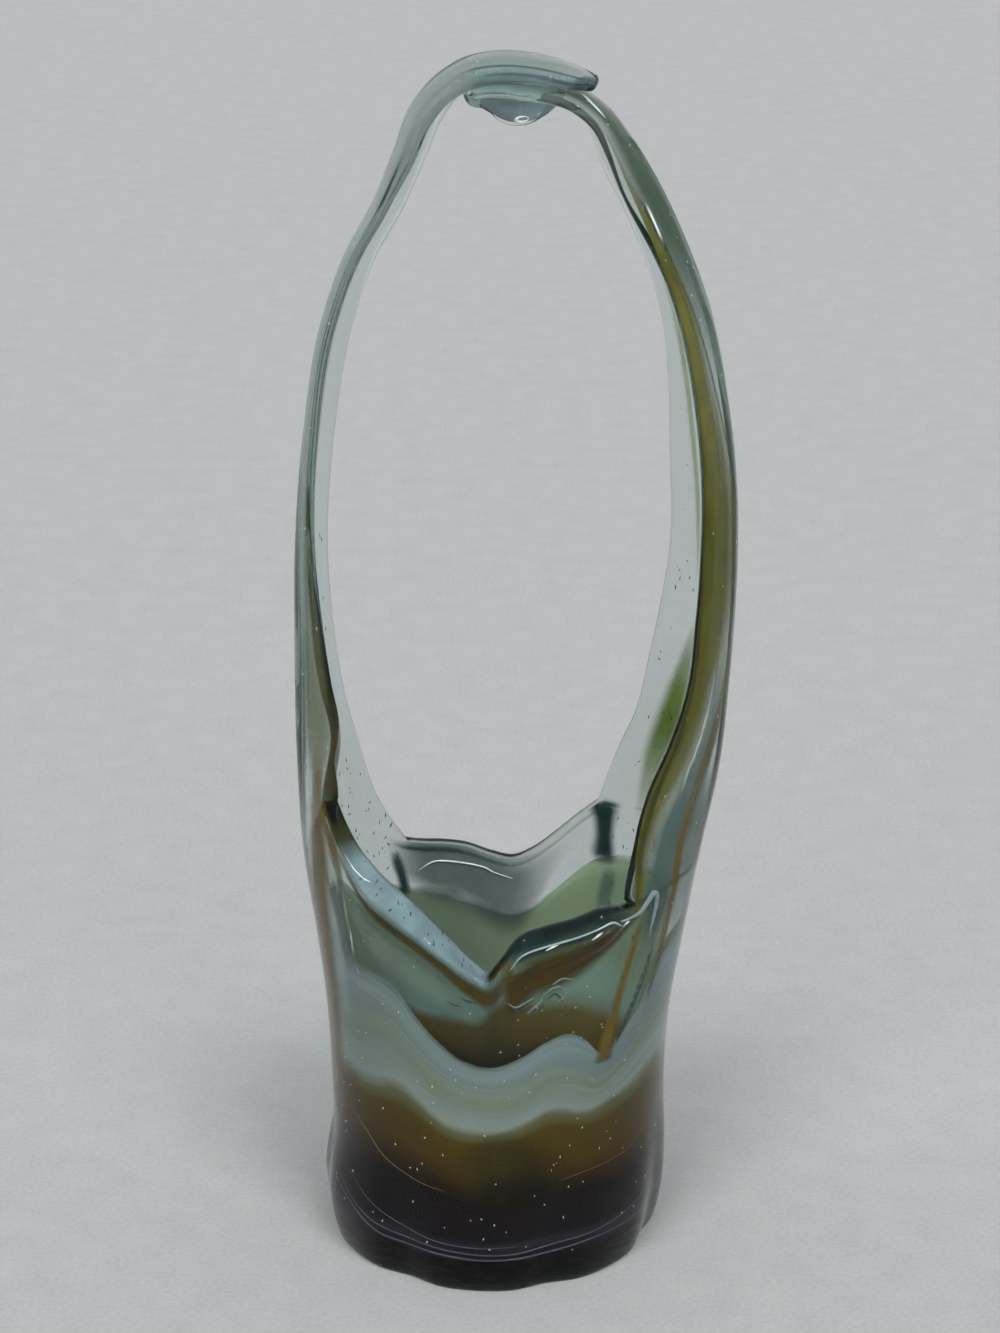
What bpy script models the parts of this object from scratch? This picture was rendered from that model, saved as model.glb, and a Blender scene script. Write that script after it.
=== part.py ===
"""Hand-blown basket vase: a lobed glass cylinder whose rim is pulled up into two straps.

The left strap laps over the right one at the crown. The glass is cased, so the walls are
layers: a clear casing, a colour layer in three bands, and a clear lining. Metres, +Z up,
origin on the floor under the middle of the vase's box, front of the vase towards -Y.
"""
import math

import bmesh
import bpy
import numpy as np

for old in list(bpy.data.objects):
    bpy.data.objects.remove(old, do_unlink=True)

# Overall sizes
HEIGHT = 0.383
BODY_RADIUS = 0.054
BODY_DEPTH = 0.0525
RIM_HEIGHT = 0.110
STRAP_HALF_WIDTH = 0.0105

# Walls, from the outside in, and the clearance that parts one layer from the next
CASING_WALL = 0.0016
COLOUR_WALL = 0.0015
LINING_WALL = 0.0016
FIT_GAP = 0.0003
WALL = CASING_WALL + COLOUR_WALL + LINING_WALL + 2 * FIT_GAP
COLOUR_DEPTH = CASING_WALL + FIT_GAP
LINING_DEPTH = COLOUR_DEPTH + COLOUR_WALL + FIT_GAP

# Bottom of the vase
FOOT_HEIGHT = 0.0095
COLOUR_FLOOR = 0.0030
LINING_FLOOR = 0.0030
FOOT_ROUNDING = 0.0025
PONTIL_RADIUS = 0.026
PONTIL_DEPTH = 0.0012
FLOOR_ROUNDING = 0.004
CORNER_LEVEL = FOOT_HEIGHT + COLOUR_FLOOR + 2 * FIT_GAP + FLOOR_ROUNDING
LOBE_COUNT = 7
LOBE_DEPTH = 0.0022
LOBE_HEIGHT = 0.060
LOBE_AZIMUTH = 19.6
LOBE_SHARPNESS = 3

# Rim, and how far above it the straps' roots end
ROOT_RISE = 0.020
ROOT_HEIGHT = RIM_HEIGHT + ROOT_RISE
SHOULDER_GAP = 0.0006
LIP_WALL = 0.0078
ROLL_HEIGHT = 0.0105
ROLL_WALL = 0.0085

# Handle
STRAP_WALL = 0.0048
LAP_WALL = 0.0056
TIP_WALL = 0.0038
TAIL_WALL = 0.0034
TIP_RUN = 0.024
LAP_GAP = 0.0011
STREAK_SKIN = 0.0015
DROP_RADIUS = 0.0132
DROP_DEPTH = 0.0072
DROP_HEIGHT = 0.0108
DROP_REACH = 0.0040
DROP_GAP = 0.0006

# Columns of the body, counted from the front towards the right, and where the rim is cut
COLUMNS = 42
LEFT_FRONT = -7
LEFT_BACK = -17
RIGHT_FRONT = 5
RIGHT_BACK = 17
STRAP_ROWS = 15
CROWN_ROWS = 12
CROWN_SHARE = 0.73
ROUNDING_STEPS = 3

# Rows of the wall up to the amethyst line, on to the foot of the opal band, and to the shoulder
WALL_ROWS = (3, 2, 4)
AMBER_ROW = WALL_ROWS[0]
OPAL_ROW = AMBER_ROW + WALL_ROWS[1]
ROOT_ROWS = 3
FRONT_LIP_ROWS = 4
BACK_LIP_ROWS = 3
ROLL_ROWS = 4
LIP_END_STEPS = 4
EDGE_START_STEPS = 2
CORNER_TURNS = (0, 30, 60)
DROP_SEGMENTS = 20
SPINE_SAMPLES = 1500
SHARP_ANGLE = 50.0

# Outer line of each side: reach in body radii, height in rim heights on the body, and above
# the rim as a share of the way from the rim to the top
LEFT_BODY_SHARES = (
    (-0.976, 0.000), (-1.022, 0.084), (-1.035, 0.153), (-1.017, 0.233), (-0.985, 0.320),
    (-0.978, 0.456), (-0.996, 0.682), (-1.056, 0.947),
)
LEFT_HANDLE_SHARES = (
    (-1.120, 0.070), (-1.150, 0.1835), (-1.152, 0.311), (-1.135, 0.454), (-1.078, 0.579),
    (-0.978, 0.6955), (-0.833, 0.7775), (-0.676, 0.835), (-0.556, 0.8935), (-0.470, 0.9395),
    (-0.343, 0.972), (-0.170, 0.993), (0.0185, 1.000), (0.222, 0.997), (0.407, 0.987),
    (0.545, 0.9755),
)
RIGHT_BODY_SHARES = (
    (0.950, 0.000), (0.989, 0.073), (1.013, 0.164), (1.017, 0.254), (1.007, 0.456),
    (1.030, 0.682), (1.113, 0.947),
)
RIGHT_HANDLE_SHARES = (
    (1.204, 0.081), (1.296, 0.172), (1.352, 0.293), (1.380, 0.425), (1.370, 0.5055),
    (1.308, 0.6115), (1.195, 0.718), (1.052, 0.795), (0.862, 0.872), (0.745, 0.909),
    (0.630, 0.938),
)
# The right strap's tail lies under the lap, at these shares of the left side's whole line
TAIL_SEAT_SHARES = (0.985, 0.970, 0.953, 0.936, 0.922, 0.911)

# Half depth of the body in body depths, by height in rim heights
DEPTH_SHARES = ((0.00, 1.020), (0.14, 1.040), (0.40, 1.005), (0.75, 0.98), (1.00, 0.95), (1.5, 0.94))

# Colour lines round the body: azimuth in degrees, height in rim heights
AMETHYST_SHARES = (
    (-120, 0.345), (-55, 0.390), (-26, 0.349), (-6, 0.313), (18, 0.321), (43, 0.334), (62, 0.352),
    (120, 0.345), (180, 0.330),
)
OPAL_BASE_SHARES = (
    (-120, 0.550), (-58, 0.580), (-32, 0.575), (-17, 0.511), (-6, 0.498), (7, 0.511), (18, 0.548),
    (33, 0.520), (43, 0.545), (61, 0.570), (120, 0.545), (180, 0.500),
)
SHOULDER_SHARES = (
    (-148, 0.905), (-120, 1.000), (-90, 1.060), (-70, 1.035), (-51, 0.970), (-37, 0.926),
    (-27, 0.826), (-17, 0.748), (-8, 0.712), (-2, 0.705), (8, 0.734), (17, 0.779), (24, 0.789),
    (30, 0.760), (36, 0.715), (42, 0.731), (46, 0.761), (52, 0.820), (60, 0.938), (75, 1.018),
    (90, 1.055), (120, 1.055), (147, 0.990), (164, 0.845), (176, 0.792), (186, 0.835), (200, 0.895),
)
# Lips: azimuth in degrees, height of the outer edge, rise of the inner edge above it
FRONT_LIP_SHARES = (
    (-60, 1.410, 0.000), (-50, 1.270, 0.010), (-43, 1.185, 0.040), (-35, 1.136, 0.048),
    (-27, 1.095, 0.042), (-18, 1.040, 0.028), (-9, 0.982, 0.012), (-3, 0.966, 0.000),
    (1.5, 1.015, 0.000), (6.5, 1.072, 0.000), (14, 1.098, 0.000), (23, 1.112, 0.000),
    (33, 1.135, 0.000), (42.86, 1.140, 0.000),
)
BACK_LIP_SHARES = (
    (145.7, 1.175, 0.000), (153, 1.112, 0.000), (161, 1.038, 0.000), (167, 0.990, 0.000),
    (175, 0.953, 0.000), (184, 0.968, 0.000), (192, 0.998, 0.000), (200, 1.014, 0.000),
    (207, 1.024, 0.000), (214.3, 1.042, 0.000),
)
# Height of the rolled lip along its run, from the notch of the rim to the right strap
ROLL_SHARES = ((0.0, 0.25), (4.3, 0.75), (8.6, 1.00), (23, 1.00), (33, 0.85), (38.6, 0.45), (42.86, 0.20))
# Share of a half turn that the swollen roll starts and ends at, from its foot to its top
ROLL_ARC_SHARES = (0.15, 0.85)
# Degrees over which a lip's extra thickness fades at its ends, and how round its edge is
LIP_TAPER = 9.0
LIP_BULGE_SHARE = 0.35
ROLL_BULGE_SHARE = 0.5

# Strap edges along each strap, root to tip: run share, half width and inward fall in
# strap half widths. The root itself takes both from the ring of the body.
LEFT_FRONT_EDGE_SHARES = (
    (0.10, 1.81, 1.33), (0.17, 1.45, 1.08), (0.255, 1.22, 0.80), (0.35, 1.10, 0.48),
    (0.48, 1.02, 0.29), (0.60, 1.00, 0.24), (0.70, 1.00, 0.22), (0.78, 1.02, 0.27),
    (0.86, 1.05, 0.26), (0.93, 1.02, 0.27), (0.975, 0.90, 0.24), (1.00, 0.66, 0.18),
)
LEFT_BACK_EDGE_SHARES = (
    (0.05, 3.43, 1.81), (0.11, 2.86, 1.33), (0.18, 2.28, 0.86), (0.28, 1.70, 0.57),
    (0.43, 1.26, 0.52), (0.55, 1.14, 0.58), (0.67, 1.05, 0.57), (0.75, 1.02, 0.64),
    (0.80, 1.04, 0.70), (0.84, 1.04, 0.60), (0.885, 1.04, 0.36), (0.94, 1.00, 0.27), (0.975, 0.88, 0.24),
    (1.00, 0.66, 0.18),
)
RIGHT_FRONT_EDGE_SHARES = (
    (0.05, 2.95, 2.20), (0.10, 2.35, 2.08), (0.15, 1.88, 1.62), (0.20, 1.62, 1.27),
    (0.285, 1.35, 1.15), (0.37, 1.20, 1.06), (0.50, 1.14, 0.94), (0.60, 1.08, 0.90),
    (0.70, 1.03, 0.85), (0.78, 1.00, 0.72), (0.86, 0.95, 0.38), (0.93, 0.92, 0.28),
    (1.00, 0.66, 0.20),
)
RIGHT_BACK_EDGE_SHARES = (
    (0.065, 3.43, 2.38), (0.115, 2.90, 2.16), (0.19, 2.28, 2.00), (0.26, 1.85, 1.82),
    (0.33, 1.58, 1.65), (0.455, 1.30, 1.56), (0.545, 1.20, 1.31), (0.645, 1.12, 1.08),
    (0.74, 1.05, 1.02), (0.80, 1.00, 0.98), (0.86, 0.95, 0.55), (0.93, 0.92, 0.29),
    (1.00, 0.66, 0.20),
)
EDGE_OPENING = 50.0
BLEND_SHARE = 0.14
SLOPE_SHARE = 0.0025

# Rings that carry a flat face in to its middle, as shares of its outline
FLOOR_RING_SHARES = (0.35, 0.75)
PONTIL_RING_SHARES = (0.5,)
PAD_RING_SHARES = (0.8, 0.4)

# Part of each strap that its colour streak fills: rows, and columns in from the front edge
OLIVE_ROWS = (3, 20)
OLIVE_COLUMNS = (0, 5)
AMBER_ROWS = (1, 6)
AMBER_COLUMNS = (2, 5)

# Colours of the glass
CLEAR_AQUA = (0.58, 0.72, 0.72, 1.0)
SMOKY_GREEN = (0.10, 0.13, 0.11, 1.0)
AMETHYST = (0.045, 0.030, 0.055, 1.0)
AMBER = (0.30, 0.19, 0.05, 1.0)
OPAL = (0.62, 0.72, 0.74, 1.0)
OLIVE = (0.30, 0.28, 0.06, 1.0)
GLASS_ROUGHNESS = 0.05


def smooth_table(table, places):
    """Values of a table's columns at the given places, on a smooth curve through its rows."""
    rows = np.array(table, dtype=float)
    knots = rows[:, 0]
    values = rows[:, 1:]
    slopes = np.gradient(values, knots, axis=0)
    places = np.clip(places, knots[0], knots[-1])
    index = np.clip(np.searchsorted(knots, places, side="right") - 1, 0, len(knots) - 2)
    span = (knots[index + 1] - knots[index])[:, None]
    part = (places - knots[index])[:, None] / span
    start_weight = 2 * part ** 3 - 3 * part ** 2 + 1
    start_slope = part ** 3 - 2 * part ** 2 + part
    end_slope = part ** 3 - part ** 2
    return (start_weight * values[index] + (1 - start_weight) * values[index + 1]
            + span * (start_slope * slopes[index] + end_slope * slopes[index + 1]))


def round_table(table, azimuths):
    """One value per azimuth in degrees, from a table that closes on itself round the body."""
    before = [(row[0] - 360, *row[1:]) for row in table]
    after = [(row[0] + 360, *row[1:]) for row in table]
    return smooth_table(before + list(table) + after, azimuths)[:, 0]


def ease(share):
    """Smooth step from 0 to 1."""
    share = np.clip(share, 0.0, 1.0)
    return share * share * (3 - 2 * share)


class Spine:
    """Outer line of one side, in the plane through both straps, read by its own length."""

    def __init__(self, points, outward):
        points = np.array(points)
        steps = np.linalg.norm(np.diff(points, axis=0), axis=1)
        knots = np.concatenate(([0.0], np.cumsum(steps)))
        table = np.column_stack((knots, points))
        self.line = smooth_table(table, np.linspace(0.0, knots[-1], SPINE_SAMPLES))
        steps = np.linalg.norm(np.diff(self.line, axis=0), axis=1)
        self.runs = np.concatenate(([0.0], np.cumsum(steps)))
        self.length = self.runs[-1]
        self.outward = outward
        crown = int(np.argmax(self.line[:, 1]))
        self.rising = self.line[:crown]

    def reach(self, heights):
        """Reach from the middle plane at the given heights, below the crown."""
        return np.interp(heights, self.rising[:, 1], self.rising[:, 0])

    def run_at(self, height):
        """Length along the line from the floor up to a height."""
        crown = len(self.rising)
        return float(np.interp(height, self.line[:crown, 1], self.runs[:crown]))

    def frame(self, runs):
        """Points, directions along the line and outward normals at the given lengths."""
        point = np.column_stack([np.interp(runs, self.runs, self.line[:, k]) for k in (0, 1)])
        step = self.length * SLOPE_SHARE
        ahead = np.column_stack([np.interp(runs + step, self.runs, self.line[:, k]) for k in (0, 1)])
        behind = np.column_stack([np.interp(runs - step, self.runs, self.line[:, k]) for k in (0, 1)])
        along = ahead - behind
        along /= np.linalg.norm(along, axis=1)[:, None]
        normal = self.outward * np.column_stack((along[:, 1], -along[:, 0]))
        return point, along, normal


def outer_line(body_shares, handle_shares):
    """Outline shares of a side as real sizes, from the floor up past the rim."""
    body = [(reach * BODY_RADIUS, height * RIM_HEIGHT) for reach, height in body_shares]
    handle = [(reach * BODY_RADIUS, RIM_HEIGHT + height * (HEIGHT - RIM_HEIGHT))
              for reach, height in handle_shares]
    return body + handle


def tip_taper(lengths_from_tip):
    """How far a strap's wall has thinned to its tip's, by distance from the tip in tip runs."""
    return ease(1 - lengths_from_tip)


def tail_seat(left):
    """Points of the right strap's tail, under the lap and clear of it by the lap gap."""
    runs = left.length * np.array(TAIL_SEAT_SHARES)
    point, _, normal = left.frame(runs)
    wall = LAP_WALL + (TIP_WALL - LAP_WALL) * tip_taper((left.length - runs) / TIP_RUN)
    return [tuple(row) for row in point - normal * (wall + LAP_GAP)[:, None]]


LEFT_SPINE = Spine(outer_line(LEFT_BODY_SHARES, LEFT_HANDLE_SHARES), -1)
RIGHT_SPINE = Spine(outer_line(RIGHT_BODY_SHARES, RIGHT_HANDLE_SHARES) + tail_seat(LEFT_SPINE), 1)


def body_point(azimuths, heights, depth):
    """Points of the body wall at a depth under its outer surface."""
    azimuths = np.asarray(azimuths, dtype=float)
    heights = np.broadcast_to(np.asarray(heights, dtype=float), azimuths.shape)
    left = LEFT_SPINE.reach(heights)
    right = RIGHT_SPINE.reach(heights)
    depth_share = smooth_table(DEPTH_SHARES, heights / RIM_HEIGHT)[:, 0]
    fade = 1 - ease(heights / LOBE_HEIGHT)
    wave = (1 + np.cos(np.radians(LOBE_COUNT * (azimuths - LOBE_AZIMUTH)))) / 2
    pressed = depth + LOBE_DEPTH * fade * wave ** LOBE_SHARPNESS
    turn = np.radians(azimuths)
    x = (left + right) / 2 + ((right - left) / 2 - pressed) * np.sin(turn)
    y = -(BODY_DEPTH * depth_share - pressed) * np.cos(turn)
    return np.column_stack((x, y, heights))


def disc_rings(outline, shares):
    """Rings inside an outline, drawn in to the given shares about its middle."""
    middle = outline.mean(axis=0)
    rings = []
    for share in shares:
        ring = middle + (outline - middle) * share
        rings.append(ring)
    return rings


class Side:
    """One strap: where it leaves the body, and how its edges run up to its tip."""

    def __init__(self, spine, azimuth, columns, front_shares, back_shares, lip_rows):
        self.spine = spine
        self.azimuths = np.array([360.0 * column / COLUMNS for column in columns])
        self.start = spine.run_at(ROOT_HEIGHT)
        turn = self.azimuths - azimuth
        front = abs(turn[0])
        back = abs(turn[-1])
        is_front = np.abs(self.azimuths) < 90
        self.is_front = is_front
        self.across = np.where(is_front, np.abs(turn) / front, np.abs(turn) / back)
        half = abs(RIGHT_SPINE.reach(ROOT_HEIGHT) - LEFT_SPINE.reach(ROOT_HEIGHT)) / 2
        deep = BODY_DEPTH * smooth_table(DEPTH_SHARES, np.array([ROOT_HEIGHT / RIM_HEIGHT]))[0, 0]
        self.openings = (front, back)
        self.lags = (lip_rows[0] - ROOT_HEIGHT, lip_rows[1] - ROOT_HEIGHT)
        self.tables = []
        for opening, shares in zip(self.openings, (front_shares, back_shares)):
            angle = math.radians(opening)
            root = (0.0, deep * math.sin(angle), half * (1 - math.cos(angle)))
            rows = [(run, width * STRAP_HALF_WIDTH, fall * STRAP_HALF_WIDTH)
                    for run, width, fall in shares]
            self.tables.append([root] + rows)

    def root_heights(self):
        """Heights of the root row, from the front corner to the back corner."""
        heights = np.full(len(self.azimuths), ROOT_HEIGHT)
        for half, lag in enumerate(self.lags):
            chosen = self.is_front if half == 0 else ~self.is_front
            angle = np.radians(self.openings[half])
            fall = (1 - np.cos(self.across[chosen] * angle)) / (1 - np.cos(angle))
            heights[chosen] += lag * fall
        return heights

    def free_row(self, share):
        """One row across the strap at a share of its run, before it is tied to the body."""
        run = np.array([self.start + share * (self.spine.length - self.start)])
        point, along, normal = self.spine.frame(run)
        turn = ease(share / BLEND_SHARE)
        level = np.array([self.spine.outward, 0.0])
        upright = np.array([0.0, 1.0])
        normal = (1 - turn) * level + turn * normal[0]
        normal /= np.linalg.norm(normal)
        along = (1 - turn) * upright + turn * along[0]
        row = np.zeros((len(self.across), 3))
        for half, sign in ((0, -1), (1, 1)):
            chosen = self.is_front if half == 0 else ~self.is_front
            width, fall = smooth_table(self.tables[half], np.array([share]))[0]
            opening = self.openings[half] + (EDGE_OPENING - self.openings[half]) * ease(share * 2)
            angle = math.radians(opening)
            swing = self.across[chosen] * angle
            lag = self.lags[half] * (1 - ease(share / (2 * BLEND_SHARE)))
            sink = (1 - np.cos(swing)) / (1 - math.cos(angle))
            row[chosen, 0] = point[0, 0] - normal[0] * fall * sink + along[0] * lag * sink
            row[chosen, 1] = sign * width * np.sin(swing) / math.sin(angle)
            row[chosen, 2] = point[0, 1] - normal[1] * fall * sink + along[1] * lag * sink
        return row

    def outer_rows(self, run_shares):
        """Rows of the outer surface from the root row to the tip."""
        root = body_point(self.azimuths, self.root_heights(), 0.0)
        tie = root - self.free_row(0.0)
        rows = []
        for share in run_shares:
            rows.append(self.free_row(share) + tie * (1 - ease(share / (2 * BLEND_SHARE))))
        return np.array(rows)


def lip_heights(shares, azimuths, edge):
    """Heights of a lip's outer edge (0) or inner edge (1) at the given azimuths."""
    values = smooth_table(shares, np.asarray(azimuths, dtype=float))
    return RIM_HEIGHT * (values[:, 0] + edge * values[:, 1])


def shoulder(azimuths):
    """Height at which the colour layer ends."""
    return RIM_HEIGHT * round_table(SHOULDER_SHARES, azimuths)


LEFT_SIDE = Side(
    LEFT_SPINE, -90.0, range(LEFT_FRONT, LEFT_BACK - 1, -1), LEFT_FRONT_EDGE_SHARES,
    LEFT_BACK_EDGE_SHARES,
    (FRONT_LIP_SHARES[0][1] * RIM_HEIGHT, BACK_LIP_SHARES[-1][1] * RIM_HEIGHT))
RIGHT_SIDE = Side(
    RIGHT_SPINE, 90.0, range(RIGHT_FRONT, RIGHT_BACK + 1), RIGHT_FRONT_EDGE_SHARES,
    RIGHT_BACK_EDGE_SHARES,
    (FRONT_LIP_SHARES[-1][1] * RIM_HEIGHT, BACK_LIP_SHARES[0][1] * RIM_HEIGHT))
RING_AZIMUTHS = np.array([360.0 * column / COLUMNS for column in range(COLUMNS)])


def glass(name, colour):
    """A glossy glass colour."""
    material = bpy.data.materials.new(name)
    material.use_nodes = True
    shader = material.node_tree.nodes["Principled BSDF"]
    shader.inputs["Base Color"].default_value = colour
    shader.inputs["Roughness"].default_value = GLASS_ROUGHNESS
    shader.inputs["Metallic"].default_value = 0.0
    material.diffuse_color = colour
    return material


def finish(name, mesh, material):
    """Close up a bmesh as a named, smoothly shaded object with its faces pointing out."""
    bmesh.ops.recalc_face_normals(mesh, faces=mesh.faces)
    data = bpy.data.meshes.new(name)
    mesh.to_mesh(data)
    mesh.free()
    data.shade_smooth()
    data.set_sharp_from_angle(angle=math.radians(SHARP_ANGLE))
    data.materials.append(material)
    item = bpy.data.objects.new(name, data)
    bpy.context.scene.collection.objects.link(item)
    item.parent = VASE
    return item


def loft(name, rings, material, closed):
    """Solid of full rings: closed on itself like a tube wall, or capped at both ends."""
    mesh = bmesh.new()
    loops = [[mesh.verts.new(point) for point in ring] for ring in rings]
    count = len(loops[0])
    pairs = list(zip(loops, loops[1:]))
    if closed:
        pairs.append((loops[-1], loops[0]))
    for low, high in pairs:
        for k in range(count):
            after = (k + 1) % count
            mesh.faces.new((low[k], low[after], high[after], high[k]))
    if not closed:
        for loop, ring in ((loops[0], rings[0]), (loops[-1], rings[-1])):
            middle = mesh.verts.new(np.mean(ring, axis=0))
            for k in range(count):
                mesh.faces.new((loop[k], loop[(k + 1) % count], middle))
    return finish(name, mesh, material)


def boundary(rows, columns):
    """Grid places round the edge of a patch: up its first column and down its last."""
    up = [(i, 0) for i in range(rows)]
    over = [(rows - 1, j) for j in range(1, columns)]
    down = [(i, columns - 1) for i in range(rows - 2, -1, -1)]
    back = [(0, j) for j in range(columns - 2, 0, -1)]
    return up + over + down + back


def outward_direction(grid, place):
    """Direction that leads out of a grid at one of its edge places."""
    i, j = place
    rows, columns = grid.shape[:2]
    out = np.zeros(3)
    if j == 0:
        out += unit(grid[i, 0] - grid[i, 1])
    if j == columns - 1:
        out += unit(grid[i, -1] - grid[i, -2])
    if i == rows - 1:
        out += unit(grid[-1, j] - grid[-2, j])
    return unit(out)


def unit(vector):
    """Vector of length one."""
    return vector / np.linalg.norm(vector)


def rounding(outer, inner, place, bulge):
    """Points that carry a rounded edge from the outer to the inner surface."""
    top = outer[place]
    under = inner[place]
    middle = (top + under) / 2
    half = (top - under) / 2
    out = unit(outward_direction(outer, place) + outward_direction(inner, place))
    reach = bulge * np.linalg.norm(half)
    points = []
    for step in range(1, ROUNDING_STEPS + 1):
        angle = math.pi * step / (ROUNDING_STEPS + 1)
        points.append(middle + half * math.cos(angle) + out * reach * math.sin(angle))
    return points


def patch(name, outer, inner, bulges, material):
    """Solid between two grids. An edge place with an entry in bulges is rounded there."""
    mesh = bmesh.new()
    rows, columns = outer.shape[:2]
    skins = []
    for grid in (outer, inner):
        skins.append([[mesh.verts.new(grid[i, j]) for j in range(columns)] for i in range(rows)])
    for skin in skins:
        for i in range(rows - 1):
            for j in range(columns - 1):
                mesh.faces.new((skin[i][j], skin[i][j + 1], skin[i + 1][j + 1], skin[i + 1][j]))
    places = boundary(rows, columns)
    chains = []
    for place in places:
        i, j = place
        middle = []
        if place in bulges:
            points = rounding(outer, inner, place, bulges[place])
            middle = [mesh.verts.new(point) for point in points]
        chains.append([skins[0][i][j]] + middle + [skins[1][i][j]])
    for here, after in zip(chains, chains[1:] + chains[:1]):
        if len(here) == len(after):
            for k in range(len(here) - 1):
                mesh.faces.new((here[k], here[k + 1], after[k + 1], after[k]))
        else:
            mesh.faces.new(here + after[::-1])
    return finish(name, mesh, material)


def wall_ring(heights, depth):
    """Ring of the body wall at one height, or at a height for each column."""
    return body_point(RING_AZIMUTHS, heights, depth)


def wall_levels():
    """Heights of the wall's rows, shared by all its layers: corner, two colour lines, shoulder."""
    corner = np.full(COLUMNS, CORNER_LEVEL)
    lines = [
        corner,
        RIM_HEIGHT * round_table(AMETHYST_SHARES, RING_AZIMUTHS),
        RIM_HEIGHT * round_table(OPAL_BASE_SHARES, RING_AZIMUTHS),
        shoulder(RING_AZIMUTHS),
    ]
    levels = []
    for low, high, steps in zip(lines, lines[1:], WALL_ROWS):
        levels += [low + (high - low) * k / steps for k in range(steps)]
    levels.append(lines[-1])
    return levels


def wall_tube(name, levels, depth, wall, material):
    """Ring-shaped stretch of one layer of the wall, open at its top and bottom."""
    outside = [wall_ring(level, depth) for level in levels]
    inside = [wall_ring(level, depth + wall) for level in levels]
    return loft(name, outside + inside[::-1], material, closed=True)


def corner_rings(depth, bottom):
    """Rings of a cup's floor and rounded corner. All the cups' corners share one centre."""
    centre = LINING_DEPTH + FLOOR_ROUNDING
    rings = []
    for turn in CORNER_TURNS:
        angle = math.radians(turn)
        rings.append(wall_ring(CORNER_LEVEL - (CORNER_LEVEL - bottom) * math.cos(angle),
                               centre - (centre - depth) * math.sin(angle)))
    return disc_rings(rings[0], FLOOR_RING_SHARES) + rings


def make_foot(material):
    """Thick clear pad that the vase stands on, with the shallow pontil hollow under it."""
    hollow = wall_ring(PONTIL_DEPTH, BODY_RADIUS - PONTIL_RADIUS)
    hollow_edge = wall_ring(0.0, BODY_RADIUS - PONTIL_RADIUS - 2 * PONTIL_DEPTH)
    top = wall_ring(FOOT_HEIGHT, 0.0)
    rings = disc_rings(hollow, PONTIL_RING_SHARES) + [hollow, hollow_edge]
    for turn in CORNER_TURNS + (90,):
        angle = math.radians(turn)
        rings.append(wall_ring(FOOT_ROUNDING * (1 - math.cos(angle)),
                               FOOT_ROUNDING * (1 - math.sin(angle))))
    rings.append(top)
    rings += disc_rings(top, PAD_RING_SHARES)
    return loft("clear_foot", rings, material, closed=False)


def make_casing(material):
    """Clear outer wall, from the foot up to the shoulder line."""
    low = FOOT_HEIGHT + FIT_GAP
    levels = [low, (low + CORNER_LEVEL) / 2] + wall_levels()
    return wall_tube("outer_casing", levels, 0.0, CASING_WALL, material)


def make_cup(name, bottom, floor, depth, wall, levels, material):
    """Cup that nests in the layer outside it: a floor, a rounded corner and a wall."""
    outside = corner_rings(depth, bottom) + [wall_ring(level, depth) for level in levels]
    inside = corner_rings(depth + wall, bottom + floor)
    inside += [wall_ring(level, depth + wall) for level in levels]
    return loft(name, outside + inside[::-1], material, closed=False)


def make_colour_layers(amethyst, amber, opal):
    """The three bands of the colour layer, dark at the floor and pale under the rim."""
    levels = wall_levels()
    make_cup("amethyst_cup", FOOT_HEIGHT + FIT_GAP, COLOUR_FLOOR, COLOUR_DEPTH, COLOUR_WALL,
             levels[:AMBER_ROW + 1], amethyst)
    amber_levels = [levels[AMBER_ROW] + FIT_GAP] + levels[AMBER_ROW + 1:OPAL_ROW + 1]
    wall_tube("amber_band", amber_levels, COLOUR_DEPTH, COLOUR_WALL, amber)
    opal_levels = [levels[OPAL_ROW] + FIT_GAP] + levels[OPAL_ROW + 1:]
    wall_tube("opal_band", opal_levels, COLOUR_DEPTH, COLOUR_WALL, opal)


def make_lining(material):
    """Clear inner wall and floor, which hold the water."""
    return make_cup("inner_lining", CORNER_LEVEL - FLOOR_ROUNDING, LINING_FLOOR, LINING_DEPTH,
                    LINING_WALL, wall_levels(), material)


def lip_columns(first, last):
    """Azimuths of a lip, two to a column, its ends drawn in by the fit gap."""
    azimuths = np.array([180.0 * half / COLUMNS for half in range(2 * first, 2 * last + 1)])
    inset = math.degrees(FIT_GAP / BODY_DEPTH)
    azimuths[0] += inset
    azimuths[-1] -= inset
    return azimuths


def lip_foot(azimuths):
    """Height at which a lip starts: straight between the wall's columns, like the wall's edge."""
    columns = np.array([360.0 * column / COLUMNS for column in range(LEFT_BACK, COLUMNS + 1)])
    return np.interp(azimuths, columns, shoulder(columns)) + SHOULDER_GAP


def lip_grid(azimuths, low, high, depth_low, depth_high, count):
    """Grid of a lip's surface between two height lines, thickening upwards."""
    rows = []
    for k in range(count + 1):
        share = k / count
        depth = depth_low + (depth_high - depth_low) * ease(share)
        heights = low + (high - low) * share
        rows.append(body_point(azimuths, heights, depth))
    return np.array(rows)


def roll_heights(azimuths):
    """Height of the rolled lip; nothing left of where it starts."""
    tall = ROLL_HEIGHT * smooth_table(ROLL_SHARES, azimuths)[:, 0]
    return np.where(azimuths < ROLL_SHARES[0][0], 0.0, tall)


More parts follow.
